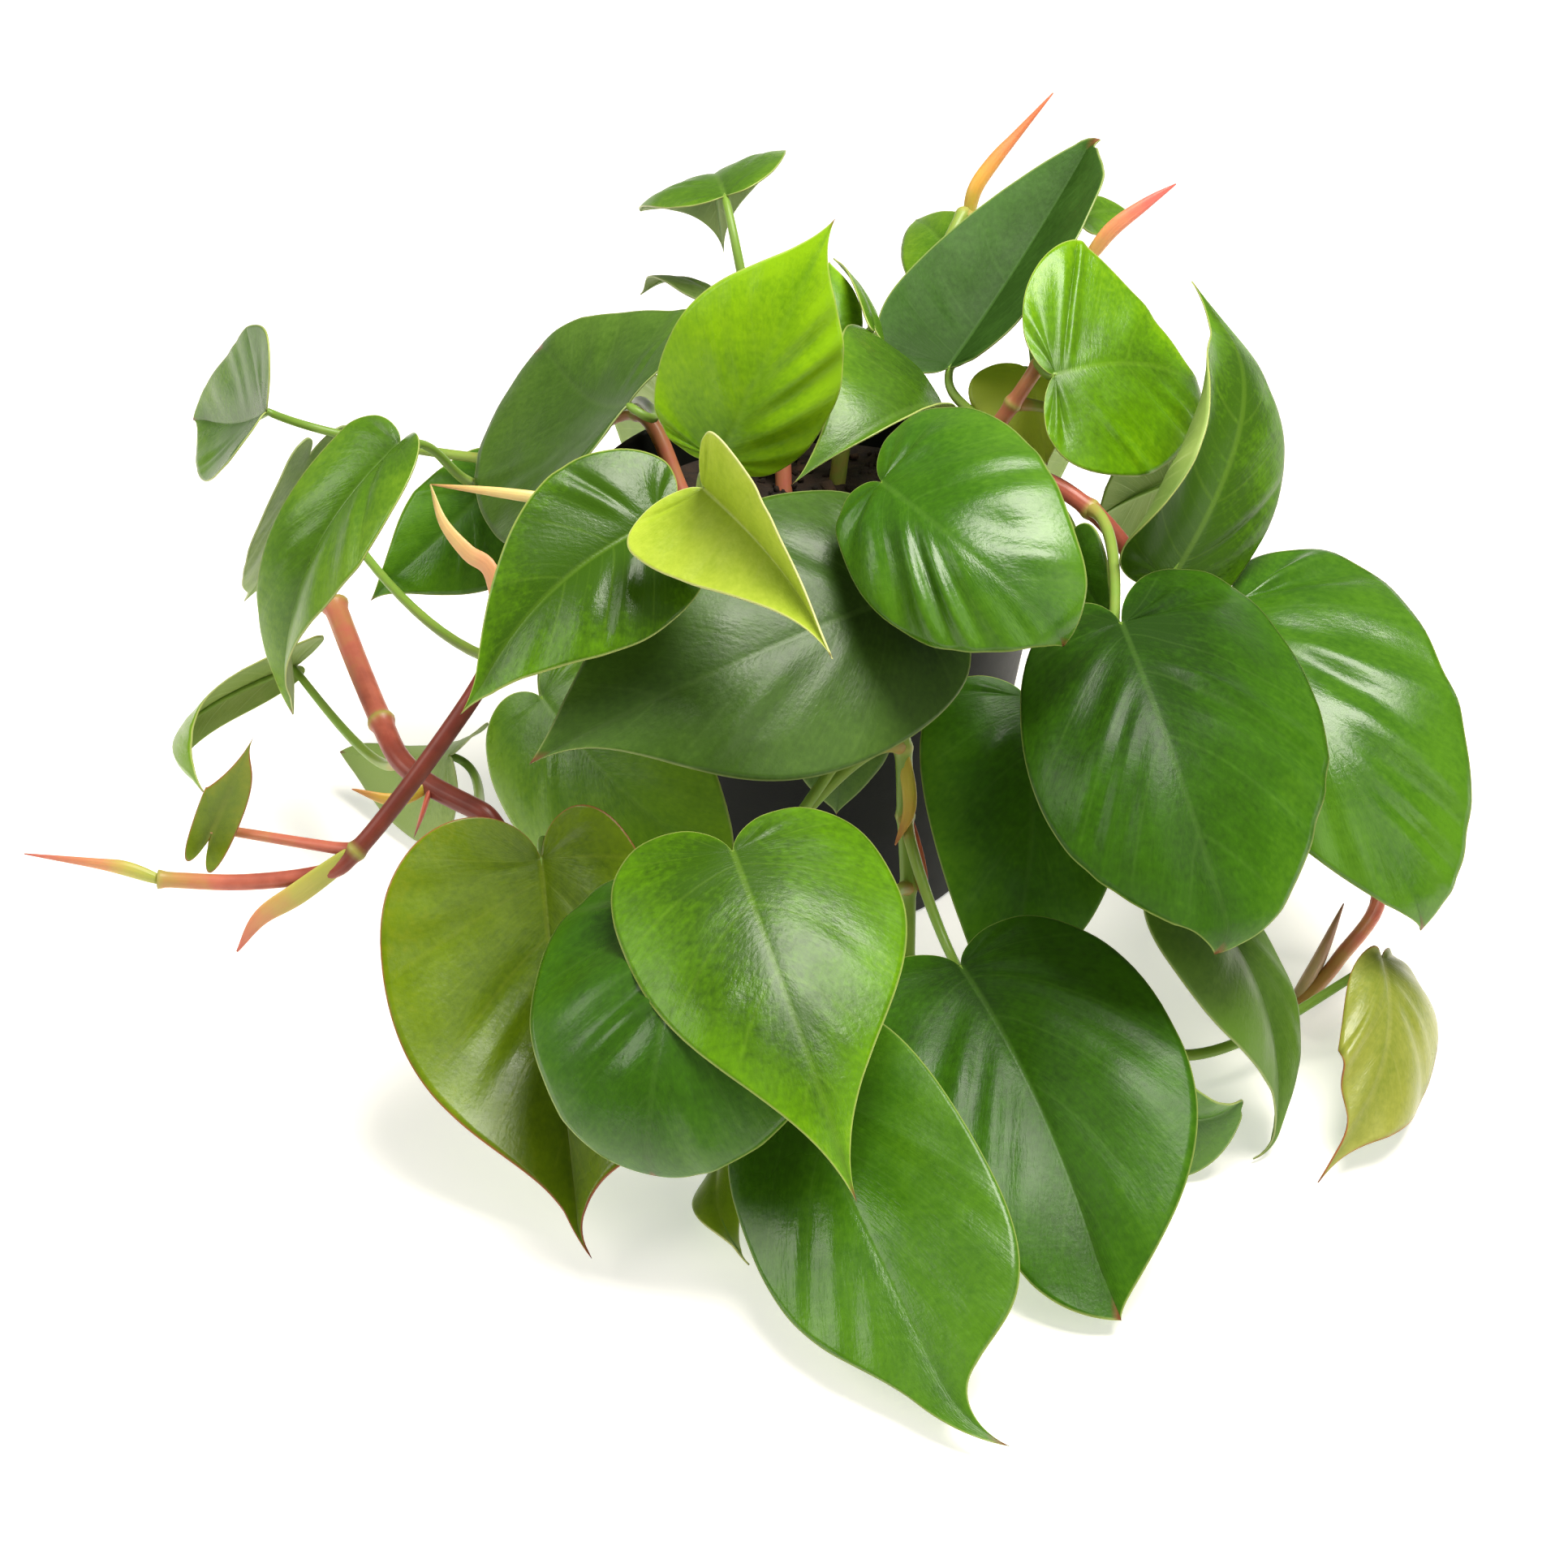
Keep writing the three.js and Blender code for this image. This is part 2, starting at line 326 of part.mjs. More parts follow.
// The leaf's own axes: across, along the chord from sinus to tip, and out of the upper face
function leafAxes(leaf) {
  const base = new THREE.Vector3(...leaf.base);
  const along = new THREE.Vector3(...leaf.tip).sub(base);
  const length = along.length();
  along.normalize();
  const out = LIGHT.clone().addScaledVector(along, -LIGHT.dot(along)).normalize();
  out.applyAxisAngle(along, radians(leaf.roll));
  const across = along.clone().cross(out);
  return { base, along, length, out, across };
}

// A point of the blade's middle surface; u runs from -1 at the left edge to 1 at the right edge
function bladePoint(leaf, u, v) {
  const { base, along, length, out, across } = leafAxes(leaf);
  const right = u >= 0;
  const [edgeX, edgeY] = outline(v, leaf, right);
  const start = veinStart(v);
  const reach = Math.abs(u);
  const x = reach * edgeX;
  const y = start + (edgeY - start) * reach ** 1.3;
  const half = leaf.width / 2 * (right ? leaf.uneven : 2 - leaf.uneven);
  const side = right ? 1 : 0;
  let [cx, cz] = crossArc(radians(leaf.folds[side]), radians(leaf.cups[side]), x);
  cx *= right ? half : -half;
  cz *= half;
  cz += leaf.wave * Math.sin(5 * Math.PI * v + (right ? 0 : 2)) * reach * reach * Math.min(1, 3 * x);
  const turn = radians(leaf.twist) * y;
  [cx, cz] = [cx * Math.cos(turn) - cz * Math.sin(turn), cx * Math.sin(turn) + cz * Math.cos(turn)];
  const main = Math.min(y, leaf.curlFrom);
  const rise = leaf.arch / 100 * 4;
  const d = along.clone().addScaledVector(out, rise * (1 - 2 * main)).normalize();
  const n = out.clone().addScaledVector(along, -rise * (1 - 2 * main)).normalize();
  const e = across.clone();
  const point = base.clone().addScaledVector(along, main * length);
  point.addScaledVector(out, rise * main * (1 - main) * length);
  point.addScaledVector(across, leaf.skew / 100 * 4 * main * (1 - main) * length);
  if (y > leaf.curlFrom) {
    const phi = Math.max(1e-3, radians(leaf.curl) * (y - leaf.curlFrom) / (1 - leaf.curlFrom));
    const hook = radians(leaf.hook);
    const b = n.clone().multiplyScalar(-Math.cos(hook)).addScaledVector(e, Math.sin(hook));
    const rest = (y - leaf.curlFrom) * length;
    point.addScaledVector(d, rest * Math.sin(phi) / phi).addScaledVector(b, rest * (1 - Math.cos(phi)) / phi);
    const turned = b.clone().multiplyScalar(Math.cos(phi)).addScaledVector(d, -Math.sin(phi)).sub(b);
    const nShare = n.dot(b);
    const eShare = e.dot(b);
    n.addScaledVector(turned, nShare);
    e.addScaledVector(turned, eShare);
  }
  return point.addScaledVector(e, cx).addScaledVector(n, cz);
}

// A solid of even thickness on a sheet of triangles, offset both ways along the sheet's normals
function thicken(points, triangles, thickness) {
  const normals = points.map(() => new THREE.Vector3());
  for (const [a, b, c] of triangles) {
    const face = points[b].clone().sub(points[a]).cross(points[c].clone().sub(points[a]));
    normals[a].add(face);
    normals[b].add(face);
    normals[c].add(face);
  }
  const count = points.length;
  const vertices = [];
  for (const side of [1, -1]) {
    points.forEach((point, i) => {
      const p = point.clone().addScaledVector(normals[i].clone().normalize(), side * thickness / 2);
      vertices.push(p.x, p.y, p.z);
    });
  }
  const faces = [];
  const edges = new Map();
  for (const [a, b, c] of triangles) {
    faces.push(a, b, c, a + count, c + count, b + count);
    for (const [p, q] of [[a, b], [b, c], [c, a]]) {
      edges.set(`${p}_${q}`, [p, q]);
    }
  }
  for (const [p, q] of edges.values()) {
    if (!edges.has(`${q}_${p}`)) {
      faces.push(p, p + count, q, q, p + count, q + count);
    }
  }
  return solid(vertices, faces);
}

// A manifold solid from plain lists of vertices and faces
function solid(vertices, faces) {
  const mesh = new wasm.Mesh({
    numProp: 3, vertProperties: new Float32Array(vertices), triVerts: new Uint32Array(faces),
  });
  mesh.merge();
  return new wasm.Manifold(mesh);
}

// The blade as a solid: a net of rows and columns whose sinus and tip each shrink to one point
function bladeSolid(leaf) {
  const small = leaf.width < SMALL_LEAF;
  const rows = small ? SMALL_ROWS : LARGE_ROWS;
  const [left, right] = leaf.cups.map((cup) => (Math.abs(cup) > ROLLED_CUP ? ROLLED_COLUMNS : COLUMNS));
  const across = [...left.map((u) => -u).reverse(), 0, ...right];
  const points = [];
  const index = new Map();
  const ids = rows.map((v) => across.map((u) => {
    const p = bladePoint(leaf, u, v);
    const key = p.toArray().map((q) => Math.round(q * 1000)).join();
    if (!index.has(key)) {
      index.set(key, points.length);
      points.push(p);
    }
    return index.get(key);
  }));
  const triangles = [];
  for (let i = 0; i + 1 < rows.length; i += 1) {
    for (let j = 0; j + 1 < across.length; j += 1) {
      const [a, b, c, d] = [ids[i][j], ids[i][j + 1], ids[i + 1][j + 1], ids[i + 1][j]];
      for (const corner of [[a, b, c], [a, c, d]]) {
        if (new Set(corner).size === 3) {
          triangles.push(corner);
        }
      }
    }
  }
  return thicken(points, triangles, BLADE_THICKNESS);
}

// A closed tube through rings of points, with a radius for each
function tubeSolid(path, radii, sides) {
  const vertices = [];
  const faces = [];
  const guide = new THREE.Vector3(0.31, 0.17, 0.93);
  path.forEach((point, i) => {
    const next = path[Math.min(i + 1, path.length - 1)];
    const last = path[Math.max(i - 1, 0)];
    const forward = next.clone().sub(last).normalize();
    const a = guide.clone().addScaledVector(forward, -guide.dot(forward)).normalize();
    guide.copy(a);
    const b = forward.clone().cross(a);
    for (let k = 0; k < sides; k += 1) {
      const angle = 2 * Math.PI * k / sides;
      const p = point.clone().addScaledVector(a, radii[i] * Math.cos(angle));
      p.addScaledVector(b, radii[i] * Math.sin(angle));
      vertices.push(p.x, p.y, p.z);
    }
  });
  const first = path[0];
  const end = path[path.length - 1];
  const centre = path.length * sides;
  vertices.push(first.x, first.y, first.z, end.x, end.y, end.z);
  for (let k = 0; k < sides; k += 1) {
    const m = (k + 1) % sides;
    faces.push(centre, m, k);
    for (let i = 0; i + 1 < path.length; i += 1) {
      const row = i * sides;
      faces.push(row + k, row + m, row + sides + m, row + k, row + sides + m, row + sides + k);
    }
    const top = (path.length - 1) * sides;
    faces.push(centre + 1, top + k, top + m);
  }
  return solid(vertices, faces);
}

// The petiole's line: it leaves the vine upwards and meets the blade from below and behind
function petiolePath(leaf, from) {
  const { base, along, out, across } = leafAxes(leaf);
  const rise = leaf.arch / 100 * 4;
  const d = along.clone().addScaledVector(out, rise).normalize();
  const n = out.clone().addScaledVector(along, -rise).normalize();
  const bend = radians(leaf.bend);
  const side = radians(leaf.side);
  const arrive = d.multiplyScalar(Math.cos(side)).addScaledVector(across, Math.sin(side));
  arrive.multiplyScalar(Math.cos(bend)).addScaledVector(n, Math.sin(bend));
  const span = base.distanceTo(from);
  const leave = base.clone().sub(from).normalize().add(new THREE.Vector3(...leaf.leave)).normalize();
  const guideA = from.clone().addScaledVector(leave, PETIOLE_REACH * span);
  const guideB = base.clone().addScaledVector(arrive, -PETIOLE_REACH * span);
  const path = [];
  for (let i = 0; i <= PETIOLE_STEPS; i += 1) {
    const t = i / PETIOLE_STEPS;
    path.push(new THREE.Vector3(
      cubic(from.x, guideA.x, guideB.x, base.x, t),
      cubic(from.y, guideA.y, guideB.y, base.y, t),
      cubic(from.z, guideA.z, guideB.z, base.z, t),
    ));
  }
  return path;
}

function vineCurve(vine) {
  const points = vine.points.map((p) => new THREE.Vector3(...p));
  return new THREE.CatmullRomCurve3(points, false, 'catmullrom', 0.5);
}

// A vine swells at each node, thins a little outwards and starts below the soil
function vineSolid(vine, extra) {
  const curve = vineCurve(vine);
  const nodes = vine.points.length - 1;
  const steps = nodes * VINE_STEPS_PER_NODE;
  const start = curve.getPoint(0);
  const path = [start.clone().add(new THREE.Vector3(-start.x * 0.15, -start.y * 0.15, -BURIED_LENGTH))];
  const radii = [vine.radius + extra];
  for (let i = 0; i <= steps; i += 1) {
    const taper = 1 - (vine.taper ?? VINE_TAPER) * i / steps;
    const swell = i > 0 && i % VINE_STEPS_PER_NODE === 0 ? NODE_SWELL : 1;
    path.push(curve.getPoint(i / steps));
    radii.push(vine.radius * taper * swell + extra);
  }
  let shape = tubeSolid(path, radii, VINE_SIDES);
  for (const spike of vine.spikes ?? []) {
    const line = spike.map((p) => new THREE.Vector3(...p));
    const widths = spike.map((_, i) => SPIKE_RADIUS * (SPIKE_BASE - i / (spike.length - 1)) + extra);
    shape = shape.add(tubeSolid(line, widths, SPIKE_SIDES));
  }
  return shape;
}

function nodePoint(leaf) {
  const vine = VINES.find((v) => v.name === leaf.vine);
  return vineCurve(vine).getPoint(leaf.node / (vine.points.length - 1));
}

// A leaf is its blade and petiole in one piece, cut free of the vine that carries it
function leafSolid(leaf) {
  const path = petiolePath(leaf, nodePoint(leaf));
  const radii = path.map((_, i) => {
    const t = i / (path.length - 1);
    return PETIOLE_FOOT_RADIUS + (PETIOLE_RADIUS - PETIOLE_FOOT_RADIUS) * t;
  });
  const carrier = vineSolid(VINES.find((v) => v.name === leaf.vine), SEAT_GAP);
  return bladeSolid(leaf).add(tubeSolid(path, radii, PETIOLE_SIDES)).subtract(carrier);
}

function latheSolid(profile) {
  const points = profile.map(([r, z]) => new THREE.Vector2(r, z));
  const geometry = new THREE.LatheGeometry(points, POT_SIDES);
  geometry.rotateX(Math.PI / 2);
  return manifoldOf(geometry);
}

// A closed three.js geometry as a manifold solid
function manifoldOf(geometry) {
  const bare = geometry.clone();
  bare.deleteAttribute('normal');
  bare.deleteAttribute('uv');
  const merged = mergeVertices(bare, 1e-4);
  return solid(merged.attributes.position.array, merged.index.array);
}

// The largest body of a solid, without the scraps that a cut leaves
function largestBody(shape) {
  const bodies = shape.decompose();
  bodies.sort((a, b) => b.volume() - a.volume());
  return bodies[0];
}

// A named mesh from a solid, with corners closer than WELD made one and the triangles lost there dropped
function meshOf(name, shape, colour, roughness) {
  const out = largestBody(shape).getMesh();
  const positions = [];
  for (const i of out.triVerts) {
    const k = i * out.numProp;
    positions.push(out.vertProperties[k], out.vertProperties[k + 1], out.vertProperties[k + 2]);
  }
  const flat = new THREE.BufferGeometry();
  flat.setAttribute('position', new THREE.Float32BufferAttribute(positions, 3));
  const geometry = mergeVertices(flat, WELD);
  const corners = geometry.index.array;
  const kept = [];
  for (let i = 0; i < corners.length; i += 3) {
    const [a, b, c] = corners.slice(i, i + 3);
    if (a !== b && b !== c && c !== a) {
      kept.push(a, b, c);
    }
  }
  geometry.setIndex(kept);
  geometry.computeVertexNormals();
  const material = new THREE.MeshStandardMaterial({ color: COLOURS[colour], roughness, metalness: 0 });
  const mesh = new THREE.Mesh(geometry, material);
  mesh.name = name;
  return mesh;
}

// Pot: a thin tapered cup with a deep rim band, on a flat foot
function potSolid() {
  const wallTop = POT_HEIGHT - RIM_DEPTH;
  const shoulder = RIM_RADIUS - BAND_STEP;
  return latheSolid([
    [0, BASE_THICKNESS],
    [FOOT_RADIUS - WALL, BASE_THICKNESS],
    [shoulder - WALL, wallTop],
    [RIM_RADIUS - RIM_WALL, POT_HEIGHT],
    [RIM_RADIUS, POT_HEIGHT],
    [RIM_RADIUS, wallTop],
    [shoulder, wallTop],
    [FOOT_RADIUS, 0],
    [0, 0],
  ].reverse());
}

// Soil: it fills the pot to a little below the rim, in a low dome, round the vines
function soilSolid() {
  const bottom = BASE_THICKNESS + SEAT_GAP;
  const top = POT_HEIGHT - SOIL_DEPTH_BELOW_RIM;
  const wallTop = POT_HEIGHT - RIM_DEPTH;
  const inner = (z) => {
    const low = FOOT_RADIUS - WALL;
    const high = RIM_RADIUS - BAND_STEP - WALL;
    return low + (high - low) * (z - BASE_THICKNESS) / (wallTop - BASE_THICKNESS) - SEAT_GAP;
  };
  let soil = latheSolid([
    [0, bottom],
    [inner(bottom) - 0.1, bottom],
    [inner(top) - 0.1, top],
    [0.6 * inner(top), top + 0.7 * SOIL_DOME],
    [0, top + SOIL_DOME],
  ]);
  for (const vine of VINES) {
    soil = soil.subtract(vineSolid(vine, SEAT_GAP));
  }
  return soil;
}

const philodendron = new THREE.Group();
philodendron.add(meshOf('pot', potSolid(), 'pot', 0.55));
philodendron.add(meshOf('soil', soilSolid(), 'soil', 0.95));
for (const vine of VINES) {
  philodendron.add(meshOf(vine.name, vineSolid(vine, 0), 'vine', 0.45));
}
for (const row of LEAVES) {
  const leaf = { ...COMMON, ...row };
  philodendron.add(meshOf(`leaf_${leaf.name}`, leafSolid(leaf), leaf.colour, 0.35));
}

export default philodendron;
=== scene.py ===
"""Heartleaf philodendron in a 14 cm nursery pot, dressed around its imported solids.

Metres, +Z up. The plant is seen from -Y and above. Sizes and tables are in millimetres.
"""
import math
import random

import bmesh
import bpy
from mathutils import Euler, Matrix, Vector, noise


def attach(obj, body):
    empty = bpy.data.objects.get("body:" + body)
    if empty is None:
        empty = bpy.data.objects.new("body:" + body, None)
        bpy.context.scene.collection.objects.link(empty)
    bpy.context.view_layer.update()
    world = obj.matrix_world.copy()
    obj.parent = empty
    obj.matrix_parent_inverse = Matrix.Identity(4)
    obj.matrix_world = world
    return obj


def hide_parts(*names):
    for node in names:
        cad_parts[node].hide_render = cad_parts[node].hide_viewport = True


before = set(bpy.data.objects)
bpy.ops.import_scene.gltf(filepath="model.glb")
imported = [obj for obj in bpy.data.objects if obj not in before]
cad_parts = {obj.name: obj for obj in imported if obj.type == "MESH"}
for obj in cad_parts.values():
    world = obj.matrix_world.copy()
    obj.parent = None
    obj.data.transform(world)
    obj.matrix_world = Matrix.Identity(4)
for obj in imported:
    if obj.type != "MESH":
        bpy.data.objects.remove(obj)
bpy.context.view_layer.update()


# Pot
# A thin nursery pot, injection moulded from black-grey polypropylene. The wall tapers
# to a flat foot, and a deep band stiffens the rim, which is where pots are lifted.
MM = 0.001
# Radius and height, from the middle of the inside over the rim to the middle of the foot
POT_PROFILE = [
    (0, 2.5), (48.4, 2.5), (49.2, 3.4), (65.5, 108.6), (66.1, 110.2), (67.5, 119.3),
    (68.1, 120), (69.4, 120), (70, 119.4), (70, 109.6), (69.5, 109), (67.7, 109), (67.4, 108.4),
    (51.0, 1.2), (50.2, 0), (47, 0), (46, 0.5), (44.8, 0), (0, 0),
]
POT_STEPS = 120
POT_GREY = "#070906"
POT_DUST = "#10130d"
POT_GRAIN = 0.45
DUST_PATCH = 22.2


def linear(code):
    """An sRGB hex colour as the linear values that a shader works with."""
    parts = [int(code[i:i + 2], 16) / 255 for i in (1, 3, 5)]
    return [p / 12.92 if p <= 0.04045 else ((p + 0.055) / 1.055) ** 2.4 for p in parts] + [1.0]


def scale(size):
    """The scale of a pattern on Object coordinates whose patches are size mm wide."""
    return 1 / (size * MM)


def fill(tree, node, inputs):
    """Gives a node's inputs their values, or links them to the sockets given."""
    for key, value in inputs.items():
        if isinstance(value, bpy.types.NodeSocket):
            tree.links.new(value, node.inputs[key])
        else:
            node.inputs[key].default_value = value


def add(tree, kind, inputs=None, stops=(), out=0, **settings):
    """Adds a shader node with its settings, inputs and a ramp's stops, and returns one of its outputs."""
    made = tree.nodes.new("ShaderNode" + kind)
    for key, value in settings.items():
        setattr(made, key, value)
    fill(tree, made, inputs or {})
    if stops:
        ramp = made.color_ramp.elements
        while len(ramp) < len(stops):
            ramp.new(0.5)
        for element, (place, colour) in zip(ramp, stops):
            element.position = place
            element.color = colour
    return made.outputs[out]


def start_material(name):
    """A new material with its nodes cleared: the material, its tree and its Principled shader."""
    material = bpy.data.materials.new(name)
    material.use_nodes = True
    tree = material.node_tree
    tree.nodes.clear()
    skin = tree.nodes.new("ShaderNodeBsdfPrincipled")
    output = tree.nodes.new("ShaderNodeOutputMaterial")
    tree.links.new(skin.outputs[0], output.inputs["Surface"])
    return material, tree, skin


def moulded_polypropylene():
    """Polypropylene from a sparked mould: a fine matt grain, with dust that dulls it in patches."""
    material, tree, skin = start_material("moulded_polypropylene")
    place = add(tree, "TexCoord", out="Object")
    dust = add(tree, "TexNoise", {"Vector": place, "Scale": scale(DUST_PATCH), "Detail": 5,
                                  "Roughness": 0.65})
    grain = add(tree, "TexNoise", {"Vector": place, "Scale": scale(POT_GRAIN), "Detail": 2})
    colour = add(tree, "ValToRGB", {"Fac": dust}, [(0.42, linear(POT_GREY)), (0.78, linear(POT_DUST))])
    rough = add(tree, "MapRange", {"Value": dust, "To Min": 0.42, "To Max": 0.68})
    bump = add(tree, "Bump", {"Height": grain, "Strength": 0.25, "Distance": 0.1 * MM})
    fill(tree, skin, {"Base Color": colour, "Roughness": rough, "Normal": bump, "IOR": 1.49,
                      "Specular IOR Level": 0.15})
    return material


def finish_piece(name, bm, materials, node=None):
    """Makes a bmesh a piece of the plant: smooth, with its materials, on the body, for its CAD node."""
    mesh = bpy.data.meshes.new(name)
    bm.to_mesh(mesh)
    bm.free()
    for material in materials:
        mesh.materials.append(material)
    mesh.shade_smooth()
    piece = bpy.data.objects.new(name, mesh)
    bpy.context.scene.collection.objects.link(piece)
    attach(piece, "root")
    if node:
        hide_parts(node)
    return piece


def spin_profile(profile, steps):
    """A closed body of revolution about Z from (radius, height) points that start and end on the axis."""
    bm = bmesh.new()
    verts = [bm.verts.new(Vector((r, 0, z)) * MM) for r, z in profile]
    edges = [bm.edges.new(pair) for pair in zip(verts, verts[1:])]
    bmesh.ops.spin(bm, geom=verts + edges, axis=(0, 0, 1), cent=(0, 0, 0), angle=2 * math.pi,
                   steps=steps, use_merge=True)
    bmesh.ops.remove_doubles(bm, verts=bm.verts, dist=1e-6)
    bmesh.ops.recalc_face_normals(bm, faces=bm.faces)
    return bm


finish_piece("nursery_pot", spin_profile(POT_PROFILE, POT_STEPS), [moulded_polypropylene()], "pot")


# Soil
# Moist peat with composted bark. It fills the pot to a little below the rim in a low,
# lumpy dome, with loose crumbs and bark chips on top.
# Radius and height, from the middle of the top over the edge to the middle of the base
SOIL_PROFILE = [(0, 109), (38.7, 108.2), (63.9, 106), (63.4, 101), (48.6, 2.9), (0, 2.9)]
SOIL_SPLITS = [0.45, 0.8, 0.84, 0.97, 1]
SOIL_NET = (170, 120)
LUMP_SIZE = 9
LUMP_HEIGHT = 1.6
LUMP_DROP = 0.8
LUMP_FADE = 25
CRUMBS = 420
CHIPS = 90
CRUMB_SIZE = [(1.2, 3.4)] * 3
CHIP_SIZE = [(3, 7), (2, 3.5), (0.8, 1.6)]
CRUMB_REACH = 61
CRUMB_LEAN = 0.5
CRUMB_ROUGHNESS = 0.22
DOME_TOP = 108.6
DOME_DROP = 2.6
DOME_RADIUS = 64
PEAT_DARK = "#17110c"
PEAT_BROWN = "#3b2a1d"
BARK = "#5f4029"
WET_PATCH = 5.56
PEAT_FIBRE = 0.714


def net(columns, rows, place, marks=()):
    """A grid whose points place(u, v) moves, with u and v from 0 to 1, and with seams and poles closed.

    place gives a point in metres and a value for each of the named marks that materials read."""
    bm = bmesh.new()
    bm.loops.layers.uv.new("net")
    stores = [bm.verts.layers.float.new(mark) for mark in marks]
    bmesh.ops.create_grid(bm, x_segments=columns, y_segments=rows, size=0.5, calc_uvs=True)
    for vert in bm.verts:
        point, *values = place(vert.co.x + 0.5, vert.co.y + 0.5)
        vert.co = point
        for store, value in zip(stores, values):
            vert[store] = value
    bmesh.ops.remove_doubles(bm, verts=bm.verts, dist=0.01 * MM)
    return bm


def closed_net(columns, rows, place, marks=()):
    """A net that closes on itself, with its faces turned outwards."""
    bm = net(columns, rows, place, marks)
    bmesh.ops.recalc_face_normals(bm, faces=bm.faces)
    return bm


def soil_point(u, v):
    """The soil's skin: round the axis by u, and from the top's centre over the edge to the base by v."""
    start = 0
    for i, end in enumerate(SOIL_SPLITS):
        if v <= end + 1e-9:
            share = (v - start) / (end - start)
            break
        start = end
    (r0, z0), (r1, z1) = SOIL_PROFILE[i], SOIL_PROFILE[i + 1]
    r, z = r0 + (r1 - r0) * share, z0 + (z1 - z0) * share
    angle = 2 * math.pi * u
    point = Vector((r * math.cos(angle), r * math.sin(angle), z)) * MM
    if v < SOIL_SPLITS[1]:
        lump = noise.fractal(point / (LUMP_SIZE * MM), 1.0, 2.0, 4)
        point.z += (LUMP_HEIGHT * lump - LUMP_DROP) * MM * min(1, (SOIL_SPLITS[1] - v) * LUMP_FADE)
    return (point,)


def peat(name, dark, light, rough):
    """Peat or bark: fibrous, crumbly and almost without gloss, darker where it is wet."""
    material, tree, skin = start_material(name)
    place = add(tree, "TexCoord", out="Object")
    wet = add(tree, "TexNoise", {"Vector": place, "Scale": scale(WET_PATCH), "Detail": 8, "Roughness": 0.7})
    fibre = add(tree, "TexNoise", {"Vector": place, "Scale": scale(PEAT_FIBRE), "Detail": 6,
                                   "Roughness": 0.7})
    colour = add(tree, "ValToRGB", {"Fac": wet}, [(0.35, linear(dark)), (0.7, linear(light))])
    bump = add(tree, "Bump", {"Height": fibre, "Strength": 0.9, "Distance": 0.5 * MM})
    fill(tree, skin, {"Base Color": colour, "Roughness": rough, "Normal": bump})
    return material


wet_peat = peat("moist_peat", PEAT_DARK, PEAT_BROWN, 0.9)
bark = peat("composted_bark", PEAT_BROWN, BARK, 0.75)
finish_piece("soil_body", closed_net(*SOIL_NET, soil_point), [wet_peat], "soil")

random.seed(11)
noise.seed_set(11)
crumbs = bmesh.new()
for number in range(CRUMBS + CHIPS):
    reach = CRUMB_REACH * math.sqrt(random.random())
    angle = random.uniform(0, 2 * math.pi)
    height = DOME_TOP - DOME_DROP * (reach / DOME_RADIUS) ** 2
    spot = Vector((reach * math.cos(angle), reach * math.sin(angle), height)) * MM
    chip = number >= CRUMBS
    if chip:
        made = bmesh.ops.create_cube(crumbs, size=1)["verts"]
    else:
        made = bmesh.ops.create_icosphere(crumbs, subdivisions=1, radius=0.5)["verts"]
    size = Vector([random.uniform(*span) for span in (CHIP_SIZE if chip else CRUMB_SIZE)])
    leans = [random.uniform(-CRUMB_LEAN, CRUMB_LEAN) for _ in range(2)]
    turn = Euler((*leans, random.uniform(0, 2 * math.pi)))
    for vert in made:
        wobble = noise.noise_vector(vert.co * 2.3 + Vector((number, 0, 0))) * CRUMB_ROUGHNESS
        point = Vector([(vert.co[k] + wobble[k]) * size[k] for k in range(3)]) * MM
        point.rotate(turn)
        vert.co = spot + point
    for face in {face for vert in made for face in vert.link_faces}:
        face.material_index = 1 if chip else 0
finish_piece("soil_crumbs", crumbs, [wet_peat, bark])


